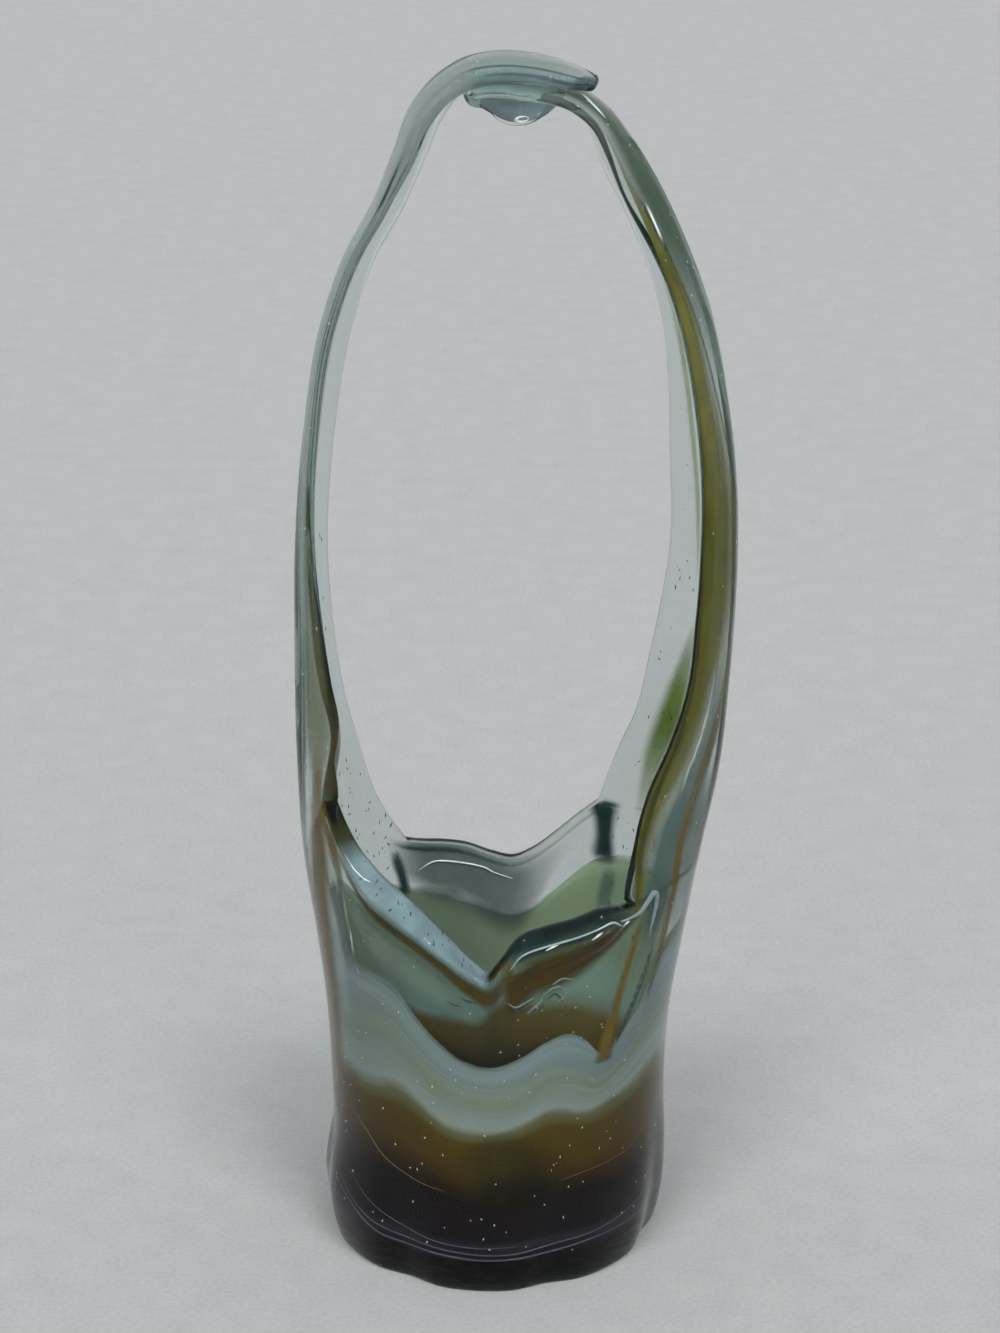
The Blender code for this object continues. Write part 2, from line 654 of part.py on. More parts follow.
def make_front_lip(material):
    """Front of the rim: a thick slanting face on the left, cut lower for the roll on the right."""
    azimuths = lip_columns(LEFT_FRONT, RIGHT_FRONT)
    rows = FRONT_LIP_ROWS
    low = lip_foot(azimuths)
    roll = roll_heights(azimuths)
    roll = np.where(roll > 0.0, roll + FIT_GAP, 0.0)
    from_roll = ease((ROLL_SHARES[0][0] - azimuths) / LIP_TAPER)
    from_strap = ease((azimuths - azimuths[0]) / (2 * LIP_TAPER))
    thick = WALL + (LIP_WALL - WALL) * from_roll * from_strap
    high_outer = lip_heights(FRONT_LIP_SHARES, azimuths, 0) - roll
    high_inner = lip_heights(FRONT_LIP_SHARES, azimuths, 1) - roll
    outer = lip_grid(azimuths, low, high_outer, 0.0, 0.0, rows)
    inner = lip_grid(azimuths, low, high_inner, WALL, thick, rows)
    last = len(azimuths) - 1
    bulges = {(rows, j): LIP_BULGE_SHARE * from_roll[j] * ease(min(j, last - j) / LIP_END_STEPS)
              for j in range(last + 1)}
    return patch("front_lip", outer, inner, bulges, material)


def make_rolled_lip(material):
    """Rim folded over at the front right into a thick roll that tapers towards the strap."""
    azimuths = lip_columns(0, RIGHT_FRONT)
    azimuths[0] = ROLL_SHARES[0][0]
    tall = roll_heights(azimuths)
    high = lip_heights(FRONT_LIP_SHARES, azimuths, 0)
    rows = ROLL_ROWS
    first, last = ROLL_ARC_SHARES
    ends = ease(np.minimum(azimuths - azimuths[0], azimuths[-1] - azimuths) / LIP_TAPER)
    outer_rows = []
    inner_rows = []
    for k in range(rows + 1):
        share = k / rows
        turn = math.pi * (first + (last - first) * share)
        swell = ends * math.sin(turn) * (ROLL_WALL - WALL) / 2
        heights = high - tall + tall * share
        outer_rows.append(body_point(azimuths, heights, -swell))
        inner_rows.append(body_point(azimuths, heights, WALL + swell))
    bulges = {(rows, j): ROLL_BULGE_SHARE * ends[j] for j in range(len(azimuths))}
    return patch("rolled_lip", np.array(outer_rows), np.array(inner_rows), bulges, material)


def make_back_lip(material):
    """Back of the rim, with its low notch right of the middle."""
    azimuths = lip_columns(RIGHT_BACK, COLUMNS + LEFT_BACK)
    low = lip_foot(azimuths)
    high = lip_heights(BACK_LIP_SHARES, azimuths, 0)
    outer = lip_grid(azimuths, low, high, 0.0, 0.0, BACK_LIP_ROWS)
    inner = lip_grid(azimuths, low, high, WALL, WALL, BACK_LIP_ROWS)
    last = len(azimuths) - 1
    bulges = {(BACK_LIP_ROWS, j): ease(min(j, last - j) / LIP_END_STEPS) for j in range(last + 1)}
    return patch("back_lip", outer, inner, bulges, material)


def strap_surfaces(side, end_wall, tip_wall):
    """Outer grid of a strap with its root, its inward normals and its wall by row."""
    low = shoulder(side.azimuths) + SHOULDER_GAP
    high = side.root_heights()
    below = [body_point(side.azimuths, low + (high - low) * k / ROOT_ROWS, 0.0)
             for k in range(ROOT_ROWS)]
    shares = np.concatenate((np.linspace(0.0, CROWN_SHARE, STRAP_ROWS, endpoint=False),
                             np.linspace(CROWN_SHARE, 1.0, CROWN_ROWS + 1)))
    outer = np.concatenate((np.array(below), side.outer_rows(shares)))
    along = np.gradient(outer, axis=0)
    across = np.gradient(outer, axis=1)
    inward = np.cross(along, across) * side.spine.outward
    inward /= np.linalg.norm(inward, axis=2)[:, :, None]
    turn = np.radians(side.azimuths)
    level = np.column_stack((-np.sin(turn), np.cos(turn), np.zeros(len(turn))))
    blend = np.concatenate((np.zeros(ROOT_ROWS), ease(shares / BLEND_SHARE)))[:, None, None]
    inward = level * (1 - blend) + inward * blend
    inward /= np.linalg.norm(inward, axis=2)[:, :, None]
    wall = WALL + (STRAP_WALL - WALL) * ease(shares / (2 * BLEND_SHARE))
    wall += (end_wall - STRAP_WALL) * ease((shares - CROWN_SHARE) / BLEND_SHARE)
    from_tip = (1 - shares) * (side.spine.length - side.start) / TIP_RUN
    wall += (tip_wall - end_wall) * tip_taper(from_tip)
    wall = np.concatenate((np.full(ROOT_ROWS, WALL), wall))
    return outer, inward, wall


def strap_bulges(rows, columns):
    """Rounding of a strap's two edges and its tip, starting gently at the root."""
    bulges = {}
    for i in range(ROOT_ROWS, rows):
        strength = ease((i - ROOT_ROWS) / EDGE_START_STEPS)
        bulges[(i, 0)] = strength
        bulges[(i, columns - 1)] = strength
    for j in range(columns):
        bulges[(rows - 1, j)] = 1.0
    return bulges


def make_strap(name, side, end_wall, tip_wall, material, streak_name, streak_rows, streak_columns,
               streak_material):
    """A strap, hollowed on its inner face where its colour streak lies, and that streak."""
    outer, inward, wall = strap_surfaces(side, end_wall, tip_wall)
    rows, columns = outer.shape[:2]
    depth = np.repeat(wall[:, None], columns, axis=1)
    first, last = streak_rows
    left, right = streak_columns
    depth[first:last + 1, left:right + 1] = STREAK_SKIN
    inner = outer + inward * depth[:, :, None]
    patch(name, outer, inner, strap_bulges(rows, columns), material)
    area = (slice(first, last + 1), slice(left, right + 1))
    streak_outer = outer[area] + inward[area] * (STREAK_SKIN + FIT_GAP)
    streak_inner = outer[area] + inward[area] * wall[first:last + 1, None, None]
    bulges = {}
    if left == 0:
        for i in range(1, last - first):
            bulges[(i, 0)] = ease((i + first - ROOT_ROWS) / EDGE_START_STEPS)
    patch(streak_name, streak_outer, streak_inner, bulges, streak_material)


def make_drop(material):
    """Blob of the right strap's tail that sagged and froze under the lap."""
    mesh = bmesh.new()
    bmesh.ops.create_uvsphere(mesh, u_segments=DROP_SEGMENTS, v_segments=DROP_SEGMENTS // 2,
                              radius=1.0)
    place = RIGHT_SPINE.line[len(RIGHT_SPINE.rising):]
    order = np.argsort(place[:, 0])
    seat = np.interp(DROP_REACH, place[order, 0], place[order, 1])
    middle = seat - TAIL_WALL - DROP_GAP - DROP_HEIGHT / 2
    for vert in mesh.verts:
        vert.co.x = DROP_REACH + vert.co.x * DROP_RADIUS
        vert.co.y = vert.co.y * DROP_DEPTH
        vert.co.z = middle + vert.co.z * DROP_HEIGHT / 2
    return finish("drop_tip", mesh, material)


def stand_over_origin():
    """Move the whole vase level, so that the middle of its box stands over the origin."""
    points = np.array([vert.co for item in VASE.children for vert in item.data.vertices])
    middle = (points.min(axis=0) + points.max(axis=0)) / 2
    VASE.location = (-middle[0], -middle[1], 0.0)


VASE = bpy.data.objects.new("basket_vase", None)
bpy.context.scene.collection.objects.link(VASE)

CLEAR = glass("clear_aqua_glass", CLEAR_AQUA)
SMOKY = glass("smoky_green_glass", SMOKY_GREEN)
DARK = glass("amethyst_glass", AMETHYST)
HONEY = glass("amber_glass", AMBER)
MILKY = glass("opal_glass", OPAL)
MOSS = glass("olive_glass", OLIVE)

make_foot(SMOKY)
make_casing(CLEAR)
make_colour_layers(DARK, HONEY, MILKY)
make_lining(CLEAR)
make_front_lip(CLEAR)
make_rolled_lip(HONEY)
make_back_lip(CLEAR)
make_strap("left_strap", LEFT_SIDE, LAP_WALL, TIP_WALL, CLEAR,
           "amber_streak", AMBER_ROWS, AMBER_COLUMNS, HONEY)
make_strap("right_strap", RIGHT_SIDE, TAIL_WALL, TAIL_WALL, CLEAR,
           "olive_streak", OLIVE_ROWS, OLIVE_COLUMNS, MOSS)
make_drop(CLEAR)
stand_over_origin()
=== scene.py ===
"""Looks of the art glass basket vase: cased, hand-blown glass with a lapped strap handle.

The clear glass is one continuous body, as on the real vase: its outer and inner skins run from
the foot through the lips into both straps. The colour lies inside it: a thin core wall with
opal, amber and amethyst bands, and veils of streaked colour in the casing and the straps.
Some veils, sheets and trails, and the lightened sides and inner face of the core, are painted
shade, painted light, painted highlights and painted reflection.
"""
import math

import bmesh
import bpy
import numpy as np
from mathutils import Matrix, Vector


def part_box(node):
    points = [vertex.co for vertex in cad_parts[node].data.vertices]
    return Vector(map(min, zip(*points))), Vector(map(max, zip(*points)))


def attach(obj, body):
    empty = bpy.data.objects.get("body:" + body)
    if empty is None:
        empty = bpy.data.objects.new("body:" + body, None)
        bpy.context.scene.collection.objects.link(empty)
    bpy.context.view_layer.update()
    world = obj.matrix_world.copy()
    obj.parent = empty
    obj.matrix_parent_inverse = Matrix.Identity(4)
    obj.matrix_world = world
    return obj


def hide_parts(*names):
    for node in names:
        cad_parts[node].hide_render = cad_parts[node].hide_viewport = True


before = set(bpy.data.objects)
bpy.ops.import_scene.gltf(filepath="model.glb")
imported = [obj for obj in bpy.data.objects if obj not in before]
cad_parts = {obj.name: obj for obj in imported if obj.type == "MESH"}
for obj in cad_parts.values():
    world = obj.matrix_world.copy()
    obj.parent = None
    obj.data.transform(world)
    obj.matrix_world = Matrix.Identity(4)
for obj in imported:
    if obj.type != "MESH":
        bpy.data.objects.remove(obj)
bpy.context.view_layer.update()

# Sizes of the solids, in metres
HEIGHT = 0.383
BODY_RADIUS = 0.054
BODY_DEPTH = 0.0525
RIM_HEIGHT = 0.110
ROOT_HEIGHT = 0.130
STRAP_HALF_WIDTH = 0.0105
WALL = 0.0053
CORE_DEPTH = 0.0019
CORE_WALL = 0.0014
FOOT_HEIGHT = 0.0095
CORE_FLOOR = 0.0030
LINING_FLOOR = 0.0161
FLOOR_ROUNDING = 0.004
CORNER_LEVEL = 0.0171
FOOT_ROUNDING = 0.0025
PONTIL_RADIUS = 0.026
PONTIL_DEPTH = 0.0012
LOBE_COUNT = 7
LOBE_DEPTH = 0.0022
LOBE_HEIGHT = 0.060
LOBE_AZIMUTH = 19.6
LOBE_SHARPNESS = 3
LIP_WALL = 0.0078
LIP_TAPER = 9.0
ROLL_HEIGHT = 0.0105
ROLL_WALL = 0.0085
STRAP_WALL = 0.0048
LAP_WALL = 0.0056
TIP_WALL = 0.0038
TAIL_WALL = 0.0034
TIP_RUN = 0.024
LAP_GAP = 0.0011
DROP_RADIUS = 0.0132
DROP_DEPTH = 0.0072
DROP_HEIGHT = 0.0108
DROP_REACH = 0.0040
DROP_FULLNESS = 0.70
DROP_SWELL = 1.10 * DROP_HEIGHT
CROWN_LEVEL = 0.9 * HEIGHT
UPWARD = np.array([0.0, 0.0, 1.0])

# Columns round the body, and the columns where the rim turns into a strap
COLUMNS = 336
LEFT_BACK, LEFT_FRONT, RIGHT_FRONT, RIGHT_BACK = -136, -56, 40, 136
BODY_ROWS = 120
STRAP_ROWS = 180
TIP_ROWS = 100
EDGE_STEPS = 7
EDGE_THINNEST = 0.30
EDGE_REACH = 0.0065
EDGE_BULGE = 0.95
LIP_BULGE = 0.75
FACE_BULGE = 0.16
BULGE_COLUMNS = 14
RIM_CAP = 0.0014
FACE_CAP = 0.0001
CORE_ROWS = 110
CORE_LIFT = 0.0003
CORE_CENTRE = WALL - 0.0016 + FLOOR_ROUNDING

LEFT_BODY_SHARES = (
    (-0.976, 0.000), (-1.022, 0.084), (-1.035, 0.153), (-1.017, 0.233), (-0.985, 0.320),
    (-0.978, 0.456), (-0.996, 0.682), (-1.056, 0.947),
)
LEFT_HANDLE_SHARES = (
    (-1.120, 0.070), (-1.150, 0.1835), (-1.152, 0.311), (-1.135, 0.454), (-1.078, 0.579),
    (-0.978, 0.6955), (-0.833, 0.7775), (-0.676, 0.835), (-0.556, 0.8935), (-0.470, 0.9395),
    (-0.343, 0.972), (-0.170, 0.993), (0.0185, 1.000), (0.222, 0.997), (0.407, 0.987),
    (0.545, 0.9755),
)
RIGHT_BODY_SHARES = (
    (0.950, 0.000), (0.989, 0.073), (1.013, 0.164), (1.017, 0.254), (1.007, 0.456),
    (1.030, 0.682), (1.113, 0.947),
)
RIGHT_HANDLE_SHARES = (
    (1.204, 0.081), (1.296, 0.172), (1.352, 0.293), (1.380, 0.425), (1.370, 0.5055),
    (1.308, 0.6115), (1.195, 0.718), (1.052, 0.795), (0.862, 0.872), (0.745, 0.909),
    (0.630, 0.938),
)
TAIL_SEAT_SHARES = (0.985, 0.970, 0.953, 0.936, 0.922, 0.911)
DEPTH_SHARES = ((0.00, 1.020), (0.14, 1.040), (0.40, 1.005), (0.75, 0.98), (1.00, 0.95), (1.5, 0.94))
AMETHYST_SHARES = (
    (-120, 0.345), (-55, 0.390), (-26, 0.349), (-6, 0.313), (18, 0.321), (43, 0.334), (62, 0.352),
    (120, 0.345), (180, 0.330),
)
OPAL_BASE_SHARES = (
    (-120, 0.550), (-58, 0.580), (-32, 0.575), (-17, 0.511), (-6, 0.498), (7, 0.511), (18, 0.548),
    (33, 0.520), (43, 0.545), (61, 0.570), (120, 0.545), (180, 0.500),
)
SHOULDER_SHARES = (
    (-148, 0.905), (-120, 1.000), (-90, 1.060), (-70, 1.035), (-51, 0.970), (-37, 0.926),
    (-27, 0.826), (-17, 0.748), (-8, 0.712), (-2, 0.705), (8, 0.734), (17, 0.779), (24, 0.789),
    (30, 0.760), (36, 0.715), (42, 0.731), (46, 0.761), (52, 0.820), (60, 0.938), (75, 1.018),
    (90, 1.055), (120, 1.055), (147, 0.990), (164, 0.845), (176, 0.792), (186, 0.835), (200, 0.895),
)
FRONT_LIP_SHARES = (
    (-60, 1.410, 0.000), (-50, 1.270, 0.010), (-43, 1.185, 0.040), (-35, 1.136, 0.048),
    (-27, 1.095, 0.042), (-18, 1.040, 0.028), (-9, 0.982, 0.012), (-3, 0.966, 0.000),
    (1.5, 1.015, 0.000), (6.5, 1.072, 0.000), (14, 1.098, 0.000), (23, 1.112, 0.000),
    (33, 1.135, 0.000), (42.86, 1.140, 0.000),
)
BACK_LIP_SHARES = (
    (145.7, 1.175, 0.000), (153, 1.112, 0.000), (161, 1.038, 0.000), (167, 0.990, 0.000),
    (175, 0.953, 0.000), (184, 0.968, 0.000), (192, 0.998, 0.000), (200, 1.014, 0.000),
    (207, 1.024, 0.000), (214.3, 1.042, 0.000),
)
ROLL_SHARES = ((0.0, 0.25), (4.3, 0.75), (8.6, 1.00), (23, 1.00), (33, 0.85), (38.6, 0.45), (42.86, 0.20))
LEFT_FRONT_EDGE_SHARES = (
    (0.10, 1.81, 1.33), (0.17, 1.45, 1.08), (0.255, 1.22, 0.80), (0.35, 1.10, 0.48),
    (0.48, 1.02, 0.29), (0.60, 1.00, 0.24), (0.70, 1.00, 0.22), (0.78, 1.02, 0.27),
    (0.86, 1.05, 0.26), (0.93, 1.02, 0.27), (0.965, 0.94, 0.24), (0.985, 0.80, 0.20),
    (1.00, 0.50, 0.14),
)
LEFT_BACK_EDGE_SHARES = (
    (0.05, 3.43, 1.81), (0.11, 2.86, 1.33), (0.18, 2.28, 0.86), (0.28, 1.70, 0.57),
    (0.43, 1.26, 0.52), (0.55, 1.14, 0.58), (0.67, 1.05, 0.57), (0.75, 1.02, 0.64),
    (0.80, 1.04, 0.70), (0.84, 1.04, 0.60), (0.885, 1.04, 0.36), (0.94, 1.00, 0.27),
    (0.965, 0.93, 0.24), (0.985, 0.80, 0.20), (1.00, 0.50, 0.14),
)
RIGHT_FRONT_EDGE_SHARES = (
    (0.05, 2.95, 2.20), (0.10, 2.35, 2.08), (0.15, 1.88, 1.62), (0.20, 1.62, 1.27),
    (0.285, 1.35, 1.15), (0.37, 1.20, 1.06), (0.50, 1.14, 0.94), (0.60, 1.08, 0.90),
    (0.70, 1.03, 0.85), (0.78, 1.00, 0.72), (0.86, 0.95, 0.38), (0.93, 0.92, 0.28),
    (1.00, 0.66, 0.20),
)
RIGHT_BACK_EDGE_SHARES = (
    (0.065, 3.43, 2.38), (0.115, 2.90, 2.16), (0.19, 2.28, 2.00), (0.26, 1.85, 1.82),
    (0.33, 1.58, 1.65), (0.455, 1.30, 1.56), (0.545, 1.20, 1.31), (0.645, 1.12, 1.08),
    (0.74, 1.05, 1.02), (0.80, 1.00, 0.98), (0.86, 0.95, 0.55), (0.93, 0.92, 0.29),
    (1.00, 0.66, 0.20),
)
EDGE_OPENING = 50.0
BLEND_SHARE = 0.14
CROWN_SHARE = 0.73

# The body's axis lies where the frame puts it: the drop hangs at a known reach from it
drop_low, drop_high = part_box("drop_tip")
SHIFT = np.array([(drop_low[0] + drop_high[0]) / 2 - DROP_REACH, (drop_low[1] + drop_high[1]) / 2, 0.0])


def smooth_table(table, places):
    """Values of a table's columns at the given places, on a smooth curve through its rows."""
    rows = np.array(table, dtype=float)
    knots = rows[:, 0]
    values = rows[:, 1:]
    slopes = np.gradient(values, knots, axis=0)
    places = np.clip(places, knots[0], knots[-1])
    index = np.clip(np.searchsorted(knots, places, side="right") - 1, 0, len(knots) - 2)
    span = (knots[index + 1] - knots[index])[:, None]
    part = (places - knots[index])[:, None] / span
    start_weight = 2 * part ** 3 - 3 * part ** 2 + 1
    start_slope = part ** 3 - 2 * part ** 2 + part
    end_slope = part ** 3 - part ** 2
    return (start_weight * values[index] + (1 - start_weight) * values[index + 1]
            + span * (start_slope * slopes[index] + end_slope * slopes[index + 1]))


def round_table(table, azimuths):
    """One value per azimuth in degrees, from a table that closes on itself round the body."""
    before = [(row[0] - 360, *row[1:]) for row in table]
    after = [(row[0] + 360, *row[1:]) for row in table]
    values = smooth_table(before + list(table) + after, np.ravel(azimuths))
    return values[:, 0].reshape(np.shape(azimuths))


def ease(share):
    """Smooth step from 0 to 1."""
    share = np.clip(share, 0.0, 1.0)
    return share * share * (3 - 2 * share)


def unit(vectors):
    """Vectors of length one."""
    return vectors / np.maximum(np.linalg.norm(vectors, axis=-1, keepdims=True), 1e-12)


class Spine:
    """Outer line of one side, in the plane through both straps, read by its own length."""

    def __init__(self, points, outward):
        points = np.array(points)
        steps = np.linalg.norm(np.diff(points, axis=0), axis=1)
        knots = np.concatenate(([0.0], np.cumsum(steps)))
        self.line = smooth_table(np.column_stack((knots, points)), np.linspace(0.0, knots[-1], 1500))
        steps = np.linalg.norm(np.diff(self.line, axis=0), axis=1)
        self.runs = np.concatenate(([0.0], np.cumsum(steps)))
        self.length = self.runs[-1]
        self.outward = outward
        self.rising = self.line[:int(np.argmax(self.line[:, 1]))]

    def reach(self, heights):
        """Reach from the middle plane at the given heights, below the crown."""
        return np.interp(heights, self.rising[:, 1], self.rising[:, 0])

    def run_at(self, height):
        """Length along the line from the floor up to a height."""
        crown = len(self.rising)
        return float(np.interp(height, self.line[:crown, 1], self.runs[:crown]))

    def frame(self, runs):
        """Points, directions along the line and outward normals at the given lengths."""
        point = np.column_stack([np.interp(runs, self.runs, self.line[:, k]) for k in (0, 1)])
        step = self.length / 400
        ahead = np.column_stack([np.interp(runs + step, self.runs, self.line[:, k]) for k in (0, 1)])
        behind = np.column_stack([np.interp(runs - step, self.runs, self.line[:, k]) for k in (0, 1)])
        along = unit(ahead - behind)
        normal = self.outward * np.column_stack((along[:, 1], -along[:, 0]))
        return point, along, normal


def outer_line(body_shares, handle_shares):
    """Outline shares of a side as real sizes, from the floor up past the rim."""
    body = [(reach * BODY_RADIUS, height * RIM_HEIGHT) for reach, height in body_shares]
    handle = [(reach * BODY_RADIUS, RIM_HEIGHT + height * (HEIGHT - RIM_HEIGHT))
              for reach, height in handle_shares]
    return body + handle


def tail_seat(left):
    """Points of the right strap's tail, under the lap and clear of it by the lap gap."""
    runs = left.length * np.array(TAIL_SEAT_SHARES)
    point, _, normal = left.frame(runs)
    wall = LAP_WALL + (TIP_WALL - LAP_WALL) * ease(1 - (left.length - runs) / TIP_RUN)
    return [tuple(row) for row in point - normal * (wall + LAP_GAP)[:, None]]


LEFT_SPINE = Spine(outer_line(LEFT_BODY_SHARES, LEFT_HANDLE_SHARES), -1)
RIGHT_SPINE = Spine(outer_line(RIGHT_BODY_SHARES, RIGHT_HANDLE_SHARES) + tail_seat(LEFT_SPINE), 1)


def body_point(azimuths, heights, depth):
    """Points of the body wall at a depth under its outer surface."""
    azimuths, heights, depth = np.broadcast_arrays(
        np.asarray(azimuths, dtype=float), np.asarray(heights, dtype=float), depth)
    left = LEFT_SPINE.reach(heights)
    right = RIGHT_SPINE.reach(heights)
    depth_share = smooth_table(DEPTH_SHARES, np.ravel(heights) / RIM_HEIGHT)[:, 0].reshape(heights.shape)
    fade = 1 - ease(heights / LOBE_HEIGHT)
    wave = (1 + np.cos(np.radians(LOBE_COUNT * (azimuths - LOBE_AZIMUTH)))) / 2
    pressed = depth + LOBE_DEPTH * fade * wave ** LOBE_SHARPNESS
    turn = np.radians(azimuths)
    x = (left + right) / 2 + ((right - left) / 2 - pressed) * np.sin(turn)
    y = -(BODY_DEPTH * depth_share - pressed) * np.cos(turn)
    return np.stack((x, y, heights), axis=-1)


class Side:
    """One strap: where it leaves the body, and how its edges run up to its tip."""

    def __init__(self, spine, azimuth, columns, front_shares, back_shares, lip_rows, end_wall, tip_wall):
        self.spine = spine
        self.azimuths = np.array([360.0 * column / COLUMNS for column in columns])
        self.start = spine.run_at(ROOT_HEIGHT)
        turn = self.azimuths - azimuth
        front = abs(turn[0])
        back = abs(turn[-1])
        self.is_front = np.abs(self.azimuths) < 90
        self.across = np.where(self.is_front, np.abs(turn) / front, np.abs(turn) / back)
        half = abs(RIGHT_SPINE.reach(ROOT_HEIGHT) - LEFT_SPINE.reach(ROOT_HEIGHT)) / 2
        deep = BODY_DEPTH * smooth_table(DEPTH_SHARES, np.array([ROOT_HEIGHT / RIM_HEIGHT]))[0, 0]
        self.openings = (front, back)
        self.lags = (lip_rows[0] - ROOT_HEIGHT, lip_rows[1] - ROOT_HEIGHT)
        self.walls = (end_wall, tip_wall)
        self.tables = []
        for opening, shares in zip(self.openings, (front_shares, back_shares)):
            angle = math.radians(opening)
            root = (0.0, deep * math.sin(angle), half * (1 - math.cos(angle)))
            rows = [(run, width * STRAP_HALF_WIDTH, fall * STRAP_HALF_WIDTH)
                    for run, width, fall in shares]
            self.tables.append([root] + rows)

    def root_heights(self):
        """Heights of the root row, from the front corner to the back corner."""
        heights = np.full(len(self.azimuths), ROOT_HEIGHT)
        for half, lag in enumerate(self.lags):
            chosen = self.is_front if half == 0 else ~self.is_front
            angle = np.radians(self.openings[half])
            heights[chosen] += lag * (1 - np.cos(self.across[chosen] * angle)) / (1 - np.cos(angle))
        return heights

    def free_row(self, share):
        """One row across the strap at a share of its run, before it is tied to the body."""
        run = np.array([self.start + share * (self.spine.length - self.start)])
        point, along, normal = self.spine.frame(run)
        turn = ease(share / BLEND_SHARE)
        normal = unit((1 - turn) * np.array([self.spine.outward, 0.0]) + turn * normal[0])
        along = (1 - turn) * np.array([0.0, 1.0]) + turn * along[0]
        row = np.zeros((len(self.across), 3))
        for half, sign in ((0, -1), (1, 1)):
            chosen = self.is_front if half == 0 else ~self.is_front
            width, fall = smooth_table(self.tables[half], np.array([share]))[0]
            opening = self.openings[half] + (EDGE_OPENING - self.openings[half]) * ease(share * 2)
            angle = math.radians(opening)
            swing = self.across[chosen] * angle
            lag = self.lags[half] * (1 - ease(share / (2 * BLEND_SHARE)))
            sink = (1 - np.cos(swing)) / (1 - math.cos(angle))
            row[chosen, 0] = point[0, 0] - normal[0] * fall * sink + along[0] * lag * sink
            row[chosen, 1] = sign * width * np.sin(swing) / math.sin(angle)
            row[chosen, 2] = point[0, 1] - normal[1] * fall * sink + along[1] * lag * sink
        return row

    def outer_rows(self, run_shares):
        """Rows of the outer surface from the root row to the tip."""
        tie = body_point(self.azimuths, self.root_heights(), 0.0) - self.free_row(0.0)
        return np.array([self.free_row(share) + tie * (1 - ease(share / (2 * BLEND_SHARE)))
                         for share in run_shares])

    def surfaces(self, run_shares):
        """Outer grid, inward directions and wall of the strap at the given run shares."""
        outer = self.outer_rows(run_shares)
        inward = unit(np.cross(np.gradient(outer, axis=0), np.gradient(outer, axis=1)))
        inward *= self.spine.outward
        turn = np.radians(self.azimuths)
        level = np.column_stack((-np.sin(turn), np.cos(turn), np.zeros(len(turn))))
        blend = ease(run_shares / BLEND_SHARE)[:, None, None]
        inward = unit(level * (1 - blend) + inward * blend)
        end_wall, tip_wall = self.walls
        wall = WALL + (STRAP_WALL - WALL) * ease(run_shares / (2 * BLEND_SHARE))
        wall += (end_wall - STRAP_WALL) * ease((run_shares - CROWN_SHARE) / BLEND_SHARE)
        from_tip = (1 - run_shares) * (self.spine.length - self.start) / TIP_RUN
        wall += (tip_wall - end_wall) * ease(1 - from_tip)
        return outer, inward, np.repeat(wall[:, None], len(self.azimuths), axis=1)


def lip_heights(shares, azimuths, edge):
    """Heights of a lip's outer edge (0) or inner edge (1) at the given azimuths."""
    values = smooth_table(shares, np.ravel(azimuths))
    return (RIM_HEIGHT * (values[:, 0] + edge * values[:, 1])).reshape(np.shape(azimuths))


def shoulder(azimuths):
    """Height at which the colour layer ends."""
    return RIM_HEIGHT * round_table(SHOULDER_SHARES, azimuths)


LEFT_SIDE = Side(
    LEFT_SPINE, -90.0, range(LEFT_FRONT, LEFT_BACK - 1, -1), LEFT_FRONT_EDGE_SHARES,
    LEFT_BACK_EDGE_SHARES,
    (FRONT_LIP_SHARES[0][1] * RIM_HEIGHT, BACK_LIP_SHARES[-1][1] * RIM_HEIGHT), LAP_WALL, TIP_WALL)
RIGHT_SIDE = Side(
    RIGHT_SPINE, 90.0, range(RIGHT_FRONT, RIGHT_BACK + 1), RIGHT_FRONT_EDGE_SHARES,
    RIGHT_BACK_EDGE_SHARES,
    (FRONT_LIP_SHARES[-1][1] * RIM_HEIGHT, BACK_LIP_SHARES[0][1] * RIM_HEIGHT), TAIL_WALL, TAIL_WALL)
RING = np.arange(-COLUMNS // 2, COLUMNS // 2) * 360.0 / COLUMNS
STRAP_SHARES = np.concatenate((np.linspace(0.0, 0.86, STRAP_ROWS + 1)[:-1],
                               np.linspace(0.86, 1.0, TIP_ROWS + 1)))


def column_index(column):
    """Place in RING of a column counted from the front towards the right."""
    return (column + COLUMNS // 2) % COLUMNS


def rim_heights(edge):
    """Height at which the body's rows end at each ring azimuth, outer (0) or inner (1) edge."""
    heights = np.zeros(COLUMNS)
    front = (RING >= 360.0 * LEFT_FRONT / COLUMNS) & (RING <= 360.0 * RIGHT_FRONT / COLUMNS)
    heights[front] = lip_heights(FRONT_LIP_SHARES, RING[front], edge)
    back = (RING <= 360.0 * LEFT_BACK / COLUMNS) | (RING >= 360.0 * RIGHT_BACK / COLUMNS)
    heights[back] = lip_heights(BACK_LIP_SHARES, RING[back] % 360.0, edge)
    for side in (LEFT_SIDE, RIGHT_SIDE):
        for azimuth, height in zip(side.azimuths[1:-1], side.root_heights()[1:-1]):
            heights[column_index(round(azimuth * COLUMNS / 360.0))] = height
    return heights


RIM_OUTER = rim_heights(0)
RIM_INNER = rim_heights(1)
IS_FRONT_LIP = (RING >= 360.0 * LEFT_FRONT / COLUMNS) & (RING <= 360.0 * RIGHT_FRONT / COLUMNS)


